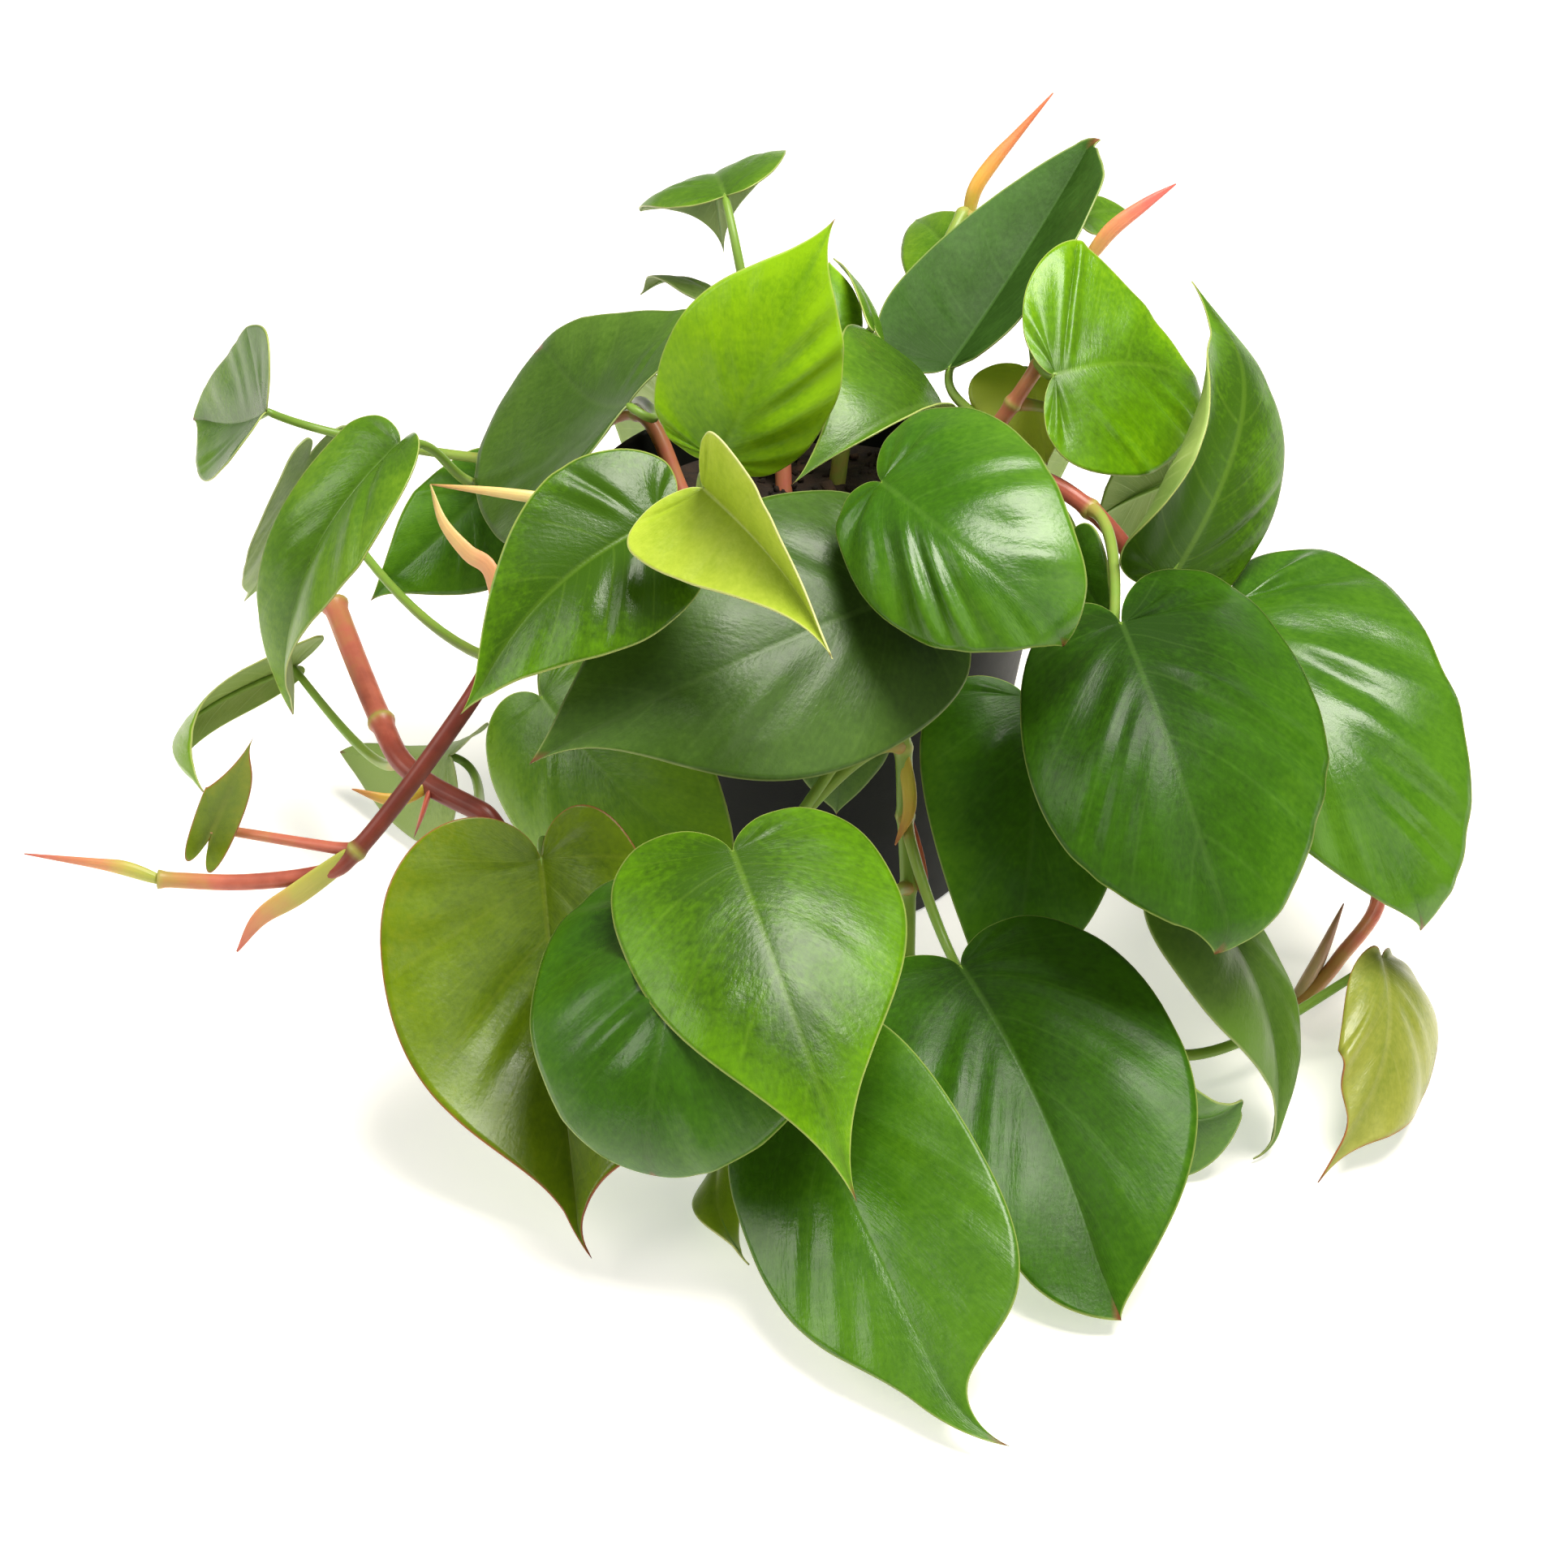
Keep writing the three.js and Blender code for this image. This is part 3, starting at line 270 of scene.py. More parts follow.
# Stems
# Smooth round stems that root in the soil, arch over the rim and trail. Young stretches are
# green to salmon pink and old ones red-brown, and each swells at a node, ringed yellow-green.
# Each stem's radius, the share by which it thins outwards, and its line from the soil
VINES = {
    "left_low": (2.8, -0.3, [(-36, -22, 106), (-56, -44, 128), (-66, -52, 104), (-85, -62, 41),
        (-98, -54, 45), (-114, -44, 48), (-124, -34, 51), (-131, -18, 54), (-140, 4, 60), (-150, 30, 67)]),
    "left_front": (3, 0.25, [(-46, -8, 106), (-68, -18, 128), (-90, -46, 98), (-99, -60, 87),
        (-117, -74, 66), (-131, -84, 52), (-140, -86, 46), (-163, -88, 44), (-187, -88, 45)]),
    "left_back": (2.6, 0.25, [(-40, 26, 106), (-55, 43, 127), (-86, 54, 104), (-94, 54, 100),
        (-99, 52, 95)]),
    "top": (2.6, 0.25, [(6, 34, 106), (8, 36, 120), (12, 41, 132), (18, 48, 143), (25, 57, 152),
        (30, 62, 157), (35, 68, 162), (40, 75, 168), (45, 84, 174), (47, 92, 168)]),
    "right_top": (2.6, 0.25, [(34, 20, 106), (42, 16, 120), (50, 13, 133), (57, 12, 145), (64, 14, 156),
        (74, 38, 159), (81, 56, 171)]),
    "right": (2.8, 0.25, [(48, -6, 106), (60, -8, 130), (78, -18, 126), (96, -28, 108), (118, -40, 84),
        (140, -52, 48), (163, -68, 28), (149, -90, 18), (133, -106, 10)]),
    "right_front": (2.8, 0.25, [(40, -32, 106), (54, -48, 128), (66, -60, 104), (70, -70, 76), (70, -84, 40),
        (76, -98, 25), (86, -118, 16)]),
    "front": (2.8, 0.25, [(6, -44, 106), (13, -68, 127), (19, -77, 106), (23, -80, 84), (24, -84, 64),
        (25, -91, 44), (25, -100, 24)]),
    "front_left": (2.8, 0.25, [(-24, -40, 106), (-34, -60, 127), (-44, -72, 100), (-52, -78, 70),
        (-58, -90, 36)]),
    "back": (2.6, 0.25, [(-10, 30, 106), (-11, 42, 122), (-14, 56, 129), (-16, 66, 129), (-20, 76, 122),
        (-28, 86, 100), (-32, 92, 66)]),
}
# How old a stem looks at each point of its line, from 0, green, to 1, brown
STEM_AGES = {
    "left_low": (0.95, 1, 1, 1, 0.98, 0.95, 0.9, 0.68, 0.62, 0.55),
    "left_front": (0.8, 0.85, 0.92, 0.97, 0.97, 0.92, 0.74, 0.68, 0.4),
    "right": (0.6, 0.7, 0.75, 0.8, 0.85, 0.8, 0.7, 0.5, 0.45),
    "top": (0.3, 0.25, 0.2, 0.2, 0.2, 0.2, 0.2, 0.2, 0.2, 0.2),
    "right_top": (0.5, 0.5, 0.5, 0.56, 0.52, 0.3, 0.2),
    "front": (0.5, 0.3, 0.2, 0.15, 0.1, 0.1, 0.1),
}
STEM_AGE = (0.6, 0.5, 0.4)
# The points of a line that show as nodes, where they aren't all of them
STEM_NODES = {"left_low": (2, 7, 9), "left_front": (2, 5, 8), "right": (2, 4, 8), "top": (2, 5, 8)}
STEM_SIDES = 16
STEM_STEPS = (0, 0.04, 0.08, 0.14, 0.24, 0.37, 0.5, 0.63, 0.76, 0.86, 0.92, 0.96)
NODE_SWELL = 0.25
NODE_LENGTH = 1.6
RING_STRENGTH = 0.85
RING_SHARPNESS = 1.4
ROOT_DEPTH = 22
ROOT_DRAW = 0.15
STEM_COLOURS = [
    (0.0, "#7a9c3c"), (0.25, "#8ea246"), (0.45, "#b98a52"), (0.62, "#c06a55"), (0.8, "#8e4335"),
    (1.0, "#6d3026"),
]
NODE_COLOUR = "#a8a552"
STEM_BLOTCH = 6.25
STEM_LINES = (22, 3, 1)


def cubic(a, b, c, d, t):
    """One value, or point, of a cubic curve through four guides."""
    s = 1 - t
    return a * (s * s * s) + b * (3 * s * s * t) + c * (3 * s * t * t) + d * (t * t * t)


def rounded(points, t):
    """A place on the smooth line through points; t counts the points passed."""
    i = min(int(t), len(points) - 2)
    f = t - i
    p1, p2 = points[i], points[i + 1]
    p0 = points[i - 1] if i > 0 else 2 * p1 - p2
    p3 = points[i + 2] if i + 2 < len(points) else 2 * p2 - p1
    m1, m2 = (p2 - p0) / 2, (p3 - p1) / 2
    f2, f3 = f * f, f * f * f
    return (2 * f3 - 3 * f2 + 1) * p1 + (f3 - 2 * f2 + f) * m1 + (3 * f2 - 2 * f3) * p2 + (f3 - f2) * m2


def between(values, t):
    """A value on straight lines through values; t counts the values passed, and the last one holds."""
    i = min(int(t), len(values) - 2)
    return values[i] + (values[i + 1] - values[i]) * min(1, t - i)


def round_section(angle):
    """The plain round section of a stem."""
    return math.cos(angle), math.sin(angle)


def tube(path, widths, sides, section=round_section, marks=None):
    """A closed skin round a line in mm, with its half width at each point and a point at each end.

    marks is {name: its value at each point}."""
    marks = marks or {}
    guide = Vector((0.31, 0.17, 0.93))
    frames = []
    for i in range(len(path)):
        forward = (path[min(i + 1, len(path) - 1)] - path[max(i - 1, 0)]).normalized()
        guide = (guide - forward * guide.dot(forward)).normalized()
        frames.append((guide, forward.cross(guide)))
    last = len(path) + 1

    def place(u, v):
        row = round(v * last)
        i = min(max(row - 1, 0), len(path) - 1)
        width = widths[i] if 0 < row < last else 0
        across, up = section(2 * math.pi * u)
        a, b = frames[i]
        return (path[i] + (a * across + b * up) * width) * MM, *[values[i] for values in marks.values()]

    return closed_net(sides, last, place, list(marks))


def stem_skin():
    """Stem bark: smooth and waxy, coloured by age, ringed at the nodes, with fine lengthwise lines."""
    material, tree, skin = start_material("philodendron_stem")
    place = add(tree, "TexCoord", out="Object")
    age = add(tree, "Attribute", attribute_name="age", out="Fac")
    ring = add(tree, "Attribute", attribute_name="ring", out="Fac")
    blotch = add(tree, "TexNoise", {"Vector": place, "Scale": scale(STEM_BLOTCH), "Detail": 4})
    shift = add(tree, "MapRange", {"Value": blotch, "To Min": -0.16, "To Max": 0.16})
    turned = add(tree, "Math", {0: age, 1: shift}, operation="ADD")
    colour = add(tree, "ValToRGB", {"Fac": turned}, [(stop, linear(code)) for stop, code in STEM_COLOURS])
    ringed = add(tree, "Mix", {0: ring, 6: colour, 7: linear(NODE_COLOUR)}, data_type="RGBA", out=2)
    flat = add(tree, "UVMap", uv_map="net")
    long = add(tree, "Mapping", {"Vector": flat, "Scale": STEM_LINES})
    lines = add(tree, "TexNoise", {"Vector": long, "Scale": 1, "Detail": 3})
    bump = add(tree, "Bump", {"Height": lines, "Strength": 0.35, "Distance": 0.25 * MM})
    rough = add(tree, "MapRange", {"Value": blotch, "To Min": 0.28, "To Max": 0.5})
    fill(tree, skin, {"Base Color": ringed, "Roughness": rough, "Normal": bump, "IOR": 1.42,
                      "Subsurface Weight": 0.08, "Subsurface Scale": 1.5 * MM})
    return material


stem_bark = stem_skin()
stems = {}
for name, (radius, taper, line) in VINES.items():
    points = [Vector(p) for p in line]
    stems[name] = points
    last = len(points) - 1
    nodes = [points[k] for k in STEM_NODES.get(name, range(1, last + 1))]
    path = [points[0] - Vector((points[0].x * ROOT_DRAW, points[0].y * ROOT_DRAW, ROOT_DEPTH))]
    widths, ages, rings = [radius], [1], [0]
    for t in [i + f for i in range(last) for f in STEM_STEPS] + [last]:
        spot = rounded(points, t)
        away = min((spot - node).length for node in nodes) / NODE_LENGTH
        path.append(spot)
        widths.append(radius * (1 - taper * t / last) * (1 + NODE_SWELL * math.exp(-away * away)))
        ages.append(between(STEM_AGES.get(name, STEM_AGE), t))
        rings.append(RING_STRENGTH * math.exp(-(away * RING_SHARPNESS) ** 2))
    bm = tube(path, widths, STEM_SIDES, marks={"age": ages, "ring": rings})
    finish_piece(f"stem_{name}", bm, [stem_bark], f"vine_{name}")


# Buds and sheaths
# At a growing tip the next leaf stays rolled in a pointed sheath, yellow-green at its foot
# and orange to pink at its point. Older sheaths open, dry to papery strips and hang on.
# Each one's stem, its half width, how thick it is in half widths, its skin and its line
BUDS = {
    "bud_top": ("top", 2.6, 0.75, "amber", [(47, 92, 168), (49, 94, 178), (55, 98, 186), (62, 102, 193),
        (73, 108, 204)]),
    "bud_right_top": ("right_top", 2.7, 0.7, "coral", [(81, 56, 171), (88, 58, 180), (98, 61, 187),
        (107, 64, 192)]),
    "bud_left_cream": ("left_front", 2, 0.7, "cream", [(-68, -18, 128), (-81, -24, 133), (-95, -22, 134),
        (-111, -20, 135)]),
    "sheath_left_cream": ("left_front", 3, 0.4, "peach", [(-90, -46, 98), (-93, -38, 116), (-100, -33, 120),
        (-107, -28, 127), (-111, -20, 135)]),
    "bud_left_long": ("left_front", 2.4, 0.8, "blush", [(-187, -88, 45), (-196, -87, 48), (-204, -86, 49),
        (-225, -84, 51)]),
    "sheath_left_node": ("left_front", 4, 0.35, "blush", [(-131, -84, 52), (-147, -90, 42), (-158, -94, 36),
        (-165, -98, 27)]),
    "bud_left_inner": ("left_low", 2.6, 0.6, "yellow", [(-114, -44, 48), (-124, -50, 47), (-136, -52, 52)]),
    "sheath_left_withered": ("left_low", 3.4, 0.3, "withered", [(-114, -44, 48), (-116, -50, 43),
        (-119, -52, 35)]),
    "sheath_right_papery": ("right", 4, 0.6, "papery", [(134, -103, 9), (143, -92, 19), (151, -80, 31)]),
    "sheath_front_high": ("front", 2.6, 0.45, "yellow", [(23, -80, 84), (25, -88, 70), (21, -93, 60)]),
    "sheath_front_withered": ("front", 3, 0.35, "withered", [(24, -84, 64), (28, -90, 49), (30, -92, 40)]),
}
# Each skin from the foot to the point
BUD_COLOURS = {
    "amber": ("#b9b24a", "#e0a545", "#e58a52", "#cf6a45"),
    "coral": ("#e3b469", "#ee9c6a", "#e97565", "#d9675c"),
    "cream": ("#dfc676", "#ecd68c", "#e9c880", "#c9985a"),
    "peach": ("#cf9468", "#dba070", "#e6c07e", "#e8cb86"),
    "blush": ("#a9b04c", "#bcb255", "#cf8e60", "#c56c5c"),
    "yellow": ("#b5a63c", "#c6b240", "#c9a03f", "#b06d3c"),
    "withered": ("#a8483c", "#c2604a", "#b9583f", "#7a3228"),
    "papery": ("#a08a62", "#c7a688", "#b98d74", "#94644e"),
}
BUD_SIDES = 20
BUD_ROWS = 26
BUD_SWELL = (0.62, 1.25, 0.75, 0.08)
SEAM_DEPTH = 0.22
SEAM_WIDTH = 0.35
SHEATH_BLOTCH = 4.55
SHEATH_RIBS = (26, 2, 1)


def bud_skin(name, codes):
    """A bud's sheath: thin, waxy, ribbed lengthwise, and tinted from foot to point."""
    material, tree, skin = start_material(f"{name}_sheath")
    flat = add(tree, "UVMap", uv_map="net")
    along = add(tree, "SeparateXYZ", {0: flat}, out="Y")
    place = add(tree, "TexCoord", out="Object")
    blotch = add(tree, "TexNoise", {"Vector": place, "Scale": scale(SHEATH_BLOTCH), "Detail": 4})
    shift = add(tree, "MapRange", {"Value": blotch, "To Min": -0.12, "To Max": 0.12})
    turned = add(tree, "Math", {0: along, 1: shift}, operation="ADD")
    colour = add(tree, "ValToRGB", {"Fac": turned},
                 [(0.05 + 0.3 * i, linear(code)) for i, code in enumerate(codes)])
    long = add(tree, "Mapping", {"Vector": flat, "Scale": SHEATH_RIBS})
    ribs = add(tree, "TexNoise", {"Vector": long, "Scale": 1, "Detail": 3})
    bump = add(tree, "Bump", {"Height": ribs, "Strength": 0.5, "Distance": 0.3 * MM})
    fill(tree, skin, {"Base Color": colour, "Roughness": 0.42, "Normal": bump,
                      "Subsurface Weight": 0.2, "Subsurface Scale": 1.5 * MM})
    return material


def rolled_section(angle, thin):
    """The section of a rolled sheath, thin from front to back, with its seam as a groove."""
    seam = 1 - SEAM_DEPTH * math.exp(-((angle - math.pi / 2) / SEAM_WIDTH) ** 2)
    return math.cos(angle) * seam, math.sin(angle) * thin * seam


bud_skins = {name: bud_skin(name, codes) for name, codes in BUD_COLOURS.items()}
for name, (stem, width, thin, look, line) in BUDS.items():
    points = [Vector(p) for p in line]
    steps = [k / BUD_ROWS for k in range(BUD_ROWS + 1)]
    path = [rounded(points, t * (len(points) - 1)) for t in steps]
    widths = [width * cubic(*BUD_SWELL, t) for t in steps]
    bm = tube(path, widths, BUD_SIDES, lambda angle: rolled_section(angle, thin))
    finish_piece(name, bm, [bud_skins[look]], f"vine_{stem}")


# Leaves
# Heart-shaped, waxy blades on green petioles. Side veins leave the midrib in long arches to
# the edge, the blade is softly pleated between them, and it ends in a red-brown drip tip.
# What a leaf's form and look are where its row doesn't say. Folds and cups are in degrees for the left and
# right half, as seen with the tip up, and rise to the light, and uneven is the right half's share. Skew, arch
# and wave bend the midrib and the edge, and curl and hook turn the tip. Lobe, wide, full and point guide the
# outline from the sinus to the tip, one for each half where they differ, and a low drip draws the tip out.
# Bend and side turn the way in which the petiole meets the blade, leave the way in which it leaves the stem,
# and stalk is how old it looks at both ends. Tone is how fresh the blade looks, pleat how deep its pleats.
COMMON = dict(uneven=1, roll=0, folds=(8, 8), cups=(-25, -25), arch=6, skew=0, twist=0, wave=0, curl=0,
    hook=0, lobe=0.11, wide=0.17, full=0.6, point=0.12, drip=0.84, bend=50, side=0, leave=(0, 0, 0.8),
    curl_from=0.86, stalk=(0.42, 0), tone=0.5, pleat=0.35)


def heart(stem, at, base, tip, slot, width, **form):
    """A leaf's row: its stem and the point on its line, its sinus and tip, its slot, width and form."""
    own = dict(stem=stem, at=at, base=Vector(base), tip=Vector(tip), slot=slot, skin=slot, width=width)
    return {**COMMON, **own, **form}


LEAVES = {
    "left_far": heart("left_back", 2, (-170.9, 58.8, 119.7), (-204.2, 110.1, 92.7), "grey", 52, skin="mid",
        tone=0.3, pleat=0.3, uneven=1.13, roll=4, folds=(24, 17), cups=(-7, -9), arch=-3, skew=-4,
        lobe=(0.04, 0.12), wide=(0.33, 0.28), full=(0.6, 0.33), point=(0.02, 0.49), drip=0.86, bend=140,
        leave=(0, 0.1, -0.2)),
    "left_tall": heart("left_back", 3, (-122.2, 2.8, 136.3), (-156, -9.5, 48.6), "mid", 53, tone=0.45,
        pleat=0.45, uneven=0.72, roll=19, folds=(64, 8), cups=(-48, -33), arch=17, skew=7, lobe=0.04,
        wide=(0.3, 0.04), full=(0.4, 0.67), point=(0.09, 0.55), leave=(-0.5, 0, -0.75)),
    "left_shade": heart("left_low", 2, (-160, 68.7, 99), (-189.7, 96.4, 31.8), "grey", 36, pleat=0.3,
        uneven=1.01, roll=-71, folds=(9, 14), cups=(-25, -1), arch=5, skew=6, lobe=(0.11, 0.14),
        wide=(0.17, 0.25), full=(0.6, 0.69), point=(0.16, 0.11), drip=0.82, bend=160, leave=(0, -0.6, -0.8),
        side=-30),
    "left_dark": heart("left_back", 4, (-102.2, 61.1, 92.7), (-141.4, 45.7, 59.9), "dark", 42, pleat=0.5,
        uneven=0.78, roll=4, folds=(8, 7), cups=(-23, -27), skew=-2, lobe=(0.11, 0.15), wide=(0.23, 0.33),
        full=(0.59, 0.49), point=(0.06, 0.23), drip=0.79, bend=10, leave=(0, 0, 0)),
    "back_left_big": heart("left_back", 1, (-55, -6, 153.5), (-85.6, 68, 141.6), "dull", 92, tone=0.45,
        uneven=0.92, roll=-11, folds=(6, -2), cups=(-14, -32), arch=-6, skew=-8, curl=24, lobe=0.04,
        wide=(0.28, 0.49), full=(0.92, 0.39), point=(0.8, 0.38), drip=0.94),
    "top_bright": heart("back", 1, (-28.6, -23.3, 144.7), (4.1, -8.3, 211.7), "bright", 52, tone=0.7,
        pleat=0.8, uneven=0.9, folds=(3, -3), cups=(-27, -29), arch=9, skew=1, lobe=(0.05, 0.04), wide=0.31,
        full=(0.68, 0.7), point=(0.19, 0.02), drip=0.75),
    "centre_left": heart("left_front", 1, (-42.8, -86.6, 158.6), (-93.2, -118.6, 116.3), "bright", 55,
        tone=-0.1, pleat=0.6, uneven=0.94, roll=19, folds=(17, 21), cups=(-32, -19), arch=10, skew=7,
        lobe=(0.04, 0.14), wide=(0.29, 0.09), full=(0.54, 0.36), point=(0.07, 0.02), drip=0.79),
    "new_lime": heart("front_left", 1, (-30.5, -99.4, 175), (1.3, -156.8, 157.8), "lime", 49, tone=0.6,
        pleat=0.4, uneven=1.03, roll=31, folds=(38, 33), cups=(0, 0), arch=-9, skew=-1, lobe=(0.04, 0.08),
        wide=0, full=(0.33, 0.3), point=0.02, drip=0.64, leave=(0, 0.6, 1.2), stalk=(0.3, 0.15)),
    "top_arched": heart("top", 2, (36.7, 15.6, 142.4), (-9.8, -31.7, 139.2), "mid", 40, tone=0.2, pleat=0.5,
        uneven=1.7, roll=16, folds=(-3, 9), cups=(106, -21), arch=20, skew=-1, lobe=0.04, wide=(0.15, 0.16),
        full=(0.53, 0.4), point=0.02, drip=0.73),
    "mid_round": heart("right_front", 1, (16, -69.5, 161.4), (67.1, -114.1, 135.5), "dark", 67, tone=0.55,
        pleat=0.95, uneven=0.84, roll=-14, folds=(3, -3), cups=(-29, -45), arch=17, skew=5, curl=61,
        lobe=(0.19, 0.11), wide=(0.14, 0.41), full=(0.45, 0.84), point=(0.55, 0.12), drip=0.88),
    "top_dark": heart("right_top", 2, (39.5, 35.1, 146), (85.7, 97.4, 194.5), "dull", 61, skin="shade",
        tone=0.1, pleat=0.3, uneven=1.1, roll=-25, folds=(20, 44), cups=(11, 4), arch=-5, skew=-1, curl=65,
        hook=105, lobe=(0.11, 0.04), wide=(0.11, 0.2), full=(0.3, 0.87), point=(0.67, 0.8), drip=0.75,
        leave=(0.3, 0, 0), curl_from=0.94),
    "right_big": heart("right", 2, (80.5, -88.3, 128.8), (108.1, -163, 68.8), "dark", 102, skin="deep",
        tone=0.2, pleat=0.8, uneven=0.76, roll=-30, folds=(2, -17), cups=(-27, -52), arch=15, skew=10,
        curl=69, lobe=(0.24, 0.18), wide=(0.27, 0.33), full=(0.57, 0.86), point=(0.41, 0.31), drip=0.83,
        bend=95, leave=(0.7, -0.6, 0.5), curl_from=0.88),
    "right_outer": heart("right", 4, (118.5, -38.9, 107.1), (168.5, -119.9, 46.4), "dark", 80, tone=0.6,
        pleat=1, uneven=0.82, roll=-3, folds=(-11, 8), cups=(-20, -24), arch=18, skew=1, curl=42, hook=16,
        lobe=(0.16, 0.11), wide=(0.11, 0.15), full=(0.81, 0.74), point=(0.25, 0.02), drip=0.91,
        curl_from=0.88),
    "right_folded": heart("right", 3, (99.1, -43.1, 116.1), (109.2, 60.3, 156.4), "bright", 63, tone=0,
        pleat=0.3, uneven=0.78, roll=59, folds=(-46, 24), cups=(128, -28), arch=23, skew=-9,
        lobe=(0.06, 0.04), wide=(0.14, 0.37), full=(0.3, 0.51), point=(0.02, 0.06), drip=0.67, bend=80,
        curl_from=0.74),
    "right_top": heart("right_top", 4, (68, 3.7, 158.1), (116.3, 32.3, 138.9), "bright", 75, tone=0.35,
        pleat=0.8, uneven=0.91, roll=-4, folds=(-13, 15), cups=(-6, -15), arch=9, skew=-8, curl=39,
        lobe=(0.13, 0.09), wide=(0.24, 0.38), full=(0.3, 0.61), point=(0.02, 0.36), drip=0.82),
    "centre_big": heart("front", 1, (21.6, -76.7, 130.6), (-78, -121.2, 105.2), "dull", 82, tone=0.15,
        pleat=0.3, uneven=1.07, roll=17, folds=(4, 6), cups=(-31, -26), arch=10, skew=-2, lobe=(0.13, 0.1),
        wide=(0.26, 0.25), full=(0.7, 0.66), point=(0.02, 0.38), drip=0.72),
    "left_lower": heart("front_left", 2, (-77.8, -68.3, 93.2), (-21.1, -110.5, 60.7), "mid", 64, tone=0.6,
        pleat=0.3, uneven=1.03, roll=8, folds=(8, 3), cups=(-25, -34), arch=7, skew=4, lobe=(0.11, 0.14),
        wide=(0.17, 0.29), full=(0.68, 0.7), point=(0.27, 0.12), drip=0.87),
    "olive_front": heart("front_left", 4, (-75.4, -119.3, 73.2), (-61.7, -208.5, 10.5), "olive", 83,
        tone=0.2, pleat=0.5, uneven=1.1, roll=23, folds=(20, 38), cups=(-46, 0), arch=-9, skew=5, curl=40,
        hook=-41, lobe=(0.12, 0.14), wide=(0.5, 0.13), full=(0.92, 0.78), point=0.02, drip=0.69, bend=20,
        leave=(-0.9, -0.6, -0.2), curl_from=0.88),
    "front_dark": heart("front", 3, (-34.4, -156.8, 84), (-45.7, -212.1, 31.2), "dark", 89, tone=0.3,
        pleat=1, uneven=0.96, roll=14, folds=(2, -4), cups=(-33, -31), arch=25, skew=-4, curl=59,
        lobe=(0.11, 0.17), wide=(0.18, 0.19), full=(0.81, 0.73), point=(0.3, 0.34), drip=0.94,
        curl_from=0.8),
    "front_heart": heart("front", 2, (-23.1, -151.3, 97.6), (8.3, -229, 46.4), "bright", 76, tone=0.1,
        pleat=0.4, uneven=0.94, roll=-10, folds=(-4, 4), cups=(-23, -32), arch=10, skew=1, lobe=(0.12, 0.13),
        wide=(0.17, 0.11), full=(0.55, 0.58), point=(0.02, 0.17), drip=0.67, bend=80, leave=(0, -0.5, 0)),
    "hang_dark": heart("right_front", 2, (57.5, -69.6, 94.2), (50, -118.8, 19.5), "dull", 59, skin="deep",
        tone=0.35, uneven=1.06, roll=-6, folds=(7, 6), cups=(-25, -27), arch=13, skew=-3, lobe=(0.11, 0.06),
        wide=(0.19, 0.2), full=(0.76, 0.52), point=(0.02, 0.26), drip=0.89),
    "front_right": heart("front", 4, (38, -129, 44.8), (73.8, -225.5, 3.7), "dark", 71, skin="deep",
        tone=0.15, pleat=0.4, uneven=0.81, roll=-6, folds=(21, 12), cups=(-38, -12), arch=7, skew=-3,
        lobe=0.08, wide=(0.39, 0.16), full=(0.81, 0.73), point=(0.02, 0.73), drip=0.94,
        leave=(-0.2, -0.7, 0.2)),
    "front_low": heart("front", 5, (-7.3, -176.2, 42.5), (38.3, -273, 1.6), "dark", 64, tone=0.45, pleat=0.3,
        uneven=0.92, roll=1, folds=(6, 7), cups=(-13, -24), arch=4, curl=40, hook=-83, lobe=(0.15, 0.04),
        wide=(0.42, 0.36), full=(0.91, 0.68), point=(0.02, 0.34), drip=0.65, curl_from=0.8),
    "right_low": heart("right_front", 4, (104.2, -118.1, 59.1), (121.1, -158.4, -2.6), "dull", 50, tone=0.7,
        pleat=0.4, uneven=1.42, roll=-53, folds=(20, 27), cups=(-27, -57), arch=13, skew=-4, curl=71,
        hook=56, wide=(0.13, 0.14), full=(0.81, 0.6), point=(0.21, 0.02), drip=0.64),
    "right_yellow": heart("right_front", 6, (156.4, -112.7, 35.4), (131.9, -168.5, 1.2), "yellow", 41,
        tone=0.1, pleat=0.7, uneven=0.67, roll=-32, folds=(11, -5), cups=(-41, -39), arch=15, skew=-2,
        wave=2, lobe=(0.12, 0.04), wide=(0.11, 0.5), full=(0.69, 0.61), point=(0.06, 0.02), drip=0.64,
        bend=86, leave=(-0.8, -0.3, -0.4)),
    "left_low_far": heart("left_low", 6, (-166.1, 36.5, 41), (-179.7, -31.9, 39.3), "grey", 27, skin="mid",
        tone=1, pleat=0.3, uneven=0.61, roll=94, folds=(-21, -19), cups=(-16, -46), arch=35, skew=16,
        lobe=(0.05, 0.04), wide=(0, 0.19), full=(0.92, 0.5), point=(0.07, 0.8), drip=0.7, bend=81,
        leave=(0.3, -0.3, -0.5)),
    "top_edge_on": heart("back", 2, (-28.1, 82.9, 181), (-25.3, 132.3, 122.7), "mid", 50, pleat=0.3,
        uneven=0.96, roll=175, folds=(4, 18), cups=(-36, -26), arch=31, skew=-1, lobe=0.04,
        wide=(0.39, 0.36), full=(0.49, 0.56), point=(0.02, 0.04), drip=0.64, bend=23, leave=(-0.1, 0, 0),
        curl_from=0.55),
    "top_sliver": heart("back", 4, (-32.6, 95.6, 142.6), (-56.4, 115.1, 133), "grey", 22, uneven=0.88,
        roll=75, folds=(14, 4), cups=(-22, -48), arch=18, skew=-3, lobe=(0.1, 0.11), wide=(0.1, 0.21),
        full=(0.58, 0.59), point=(0.07, 0.02), drip=0.79),
    "behind_bright": heart("top", 1, (3.3, 40, 156.1), (3.6, 62, 167.9), "bright", 22, roll=19,
        leave=(-1, 0, 0.5)),
    "behind_bright_low": heart("top", 3, (16.9, 33, 160), (4.9, 69, 166), "mid", 12, roll=74,
        leave=(0, 0, 0)),
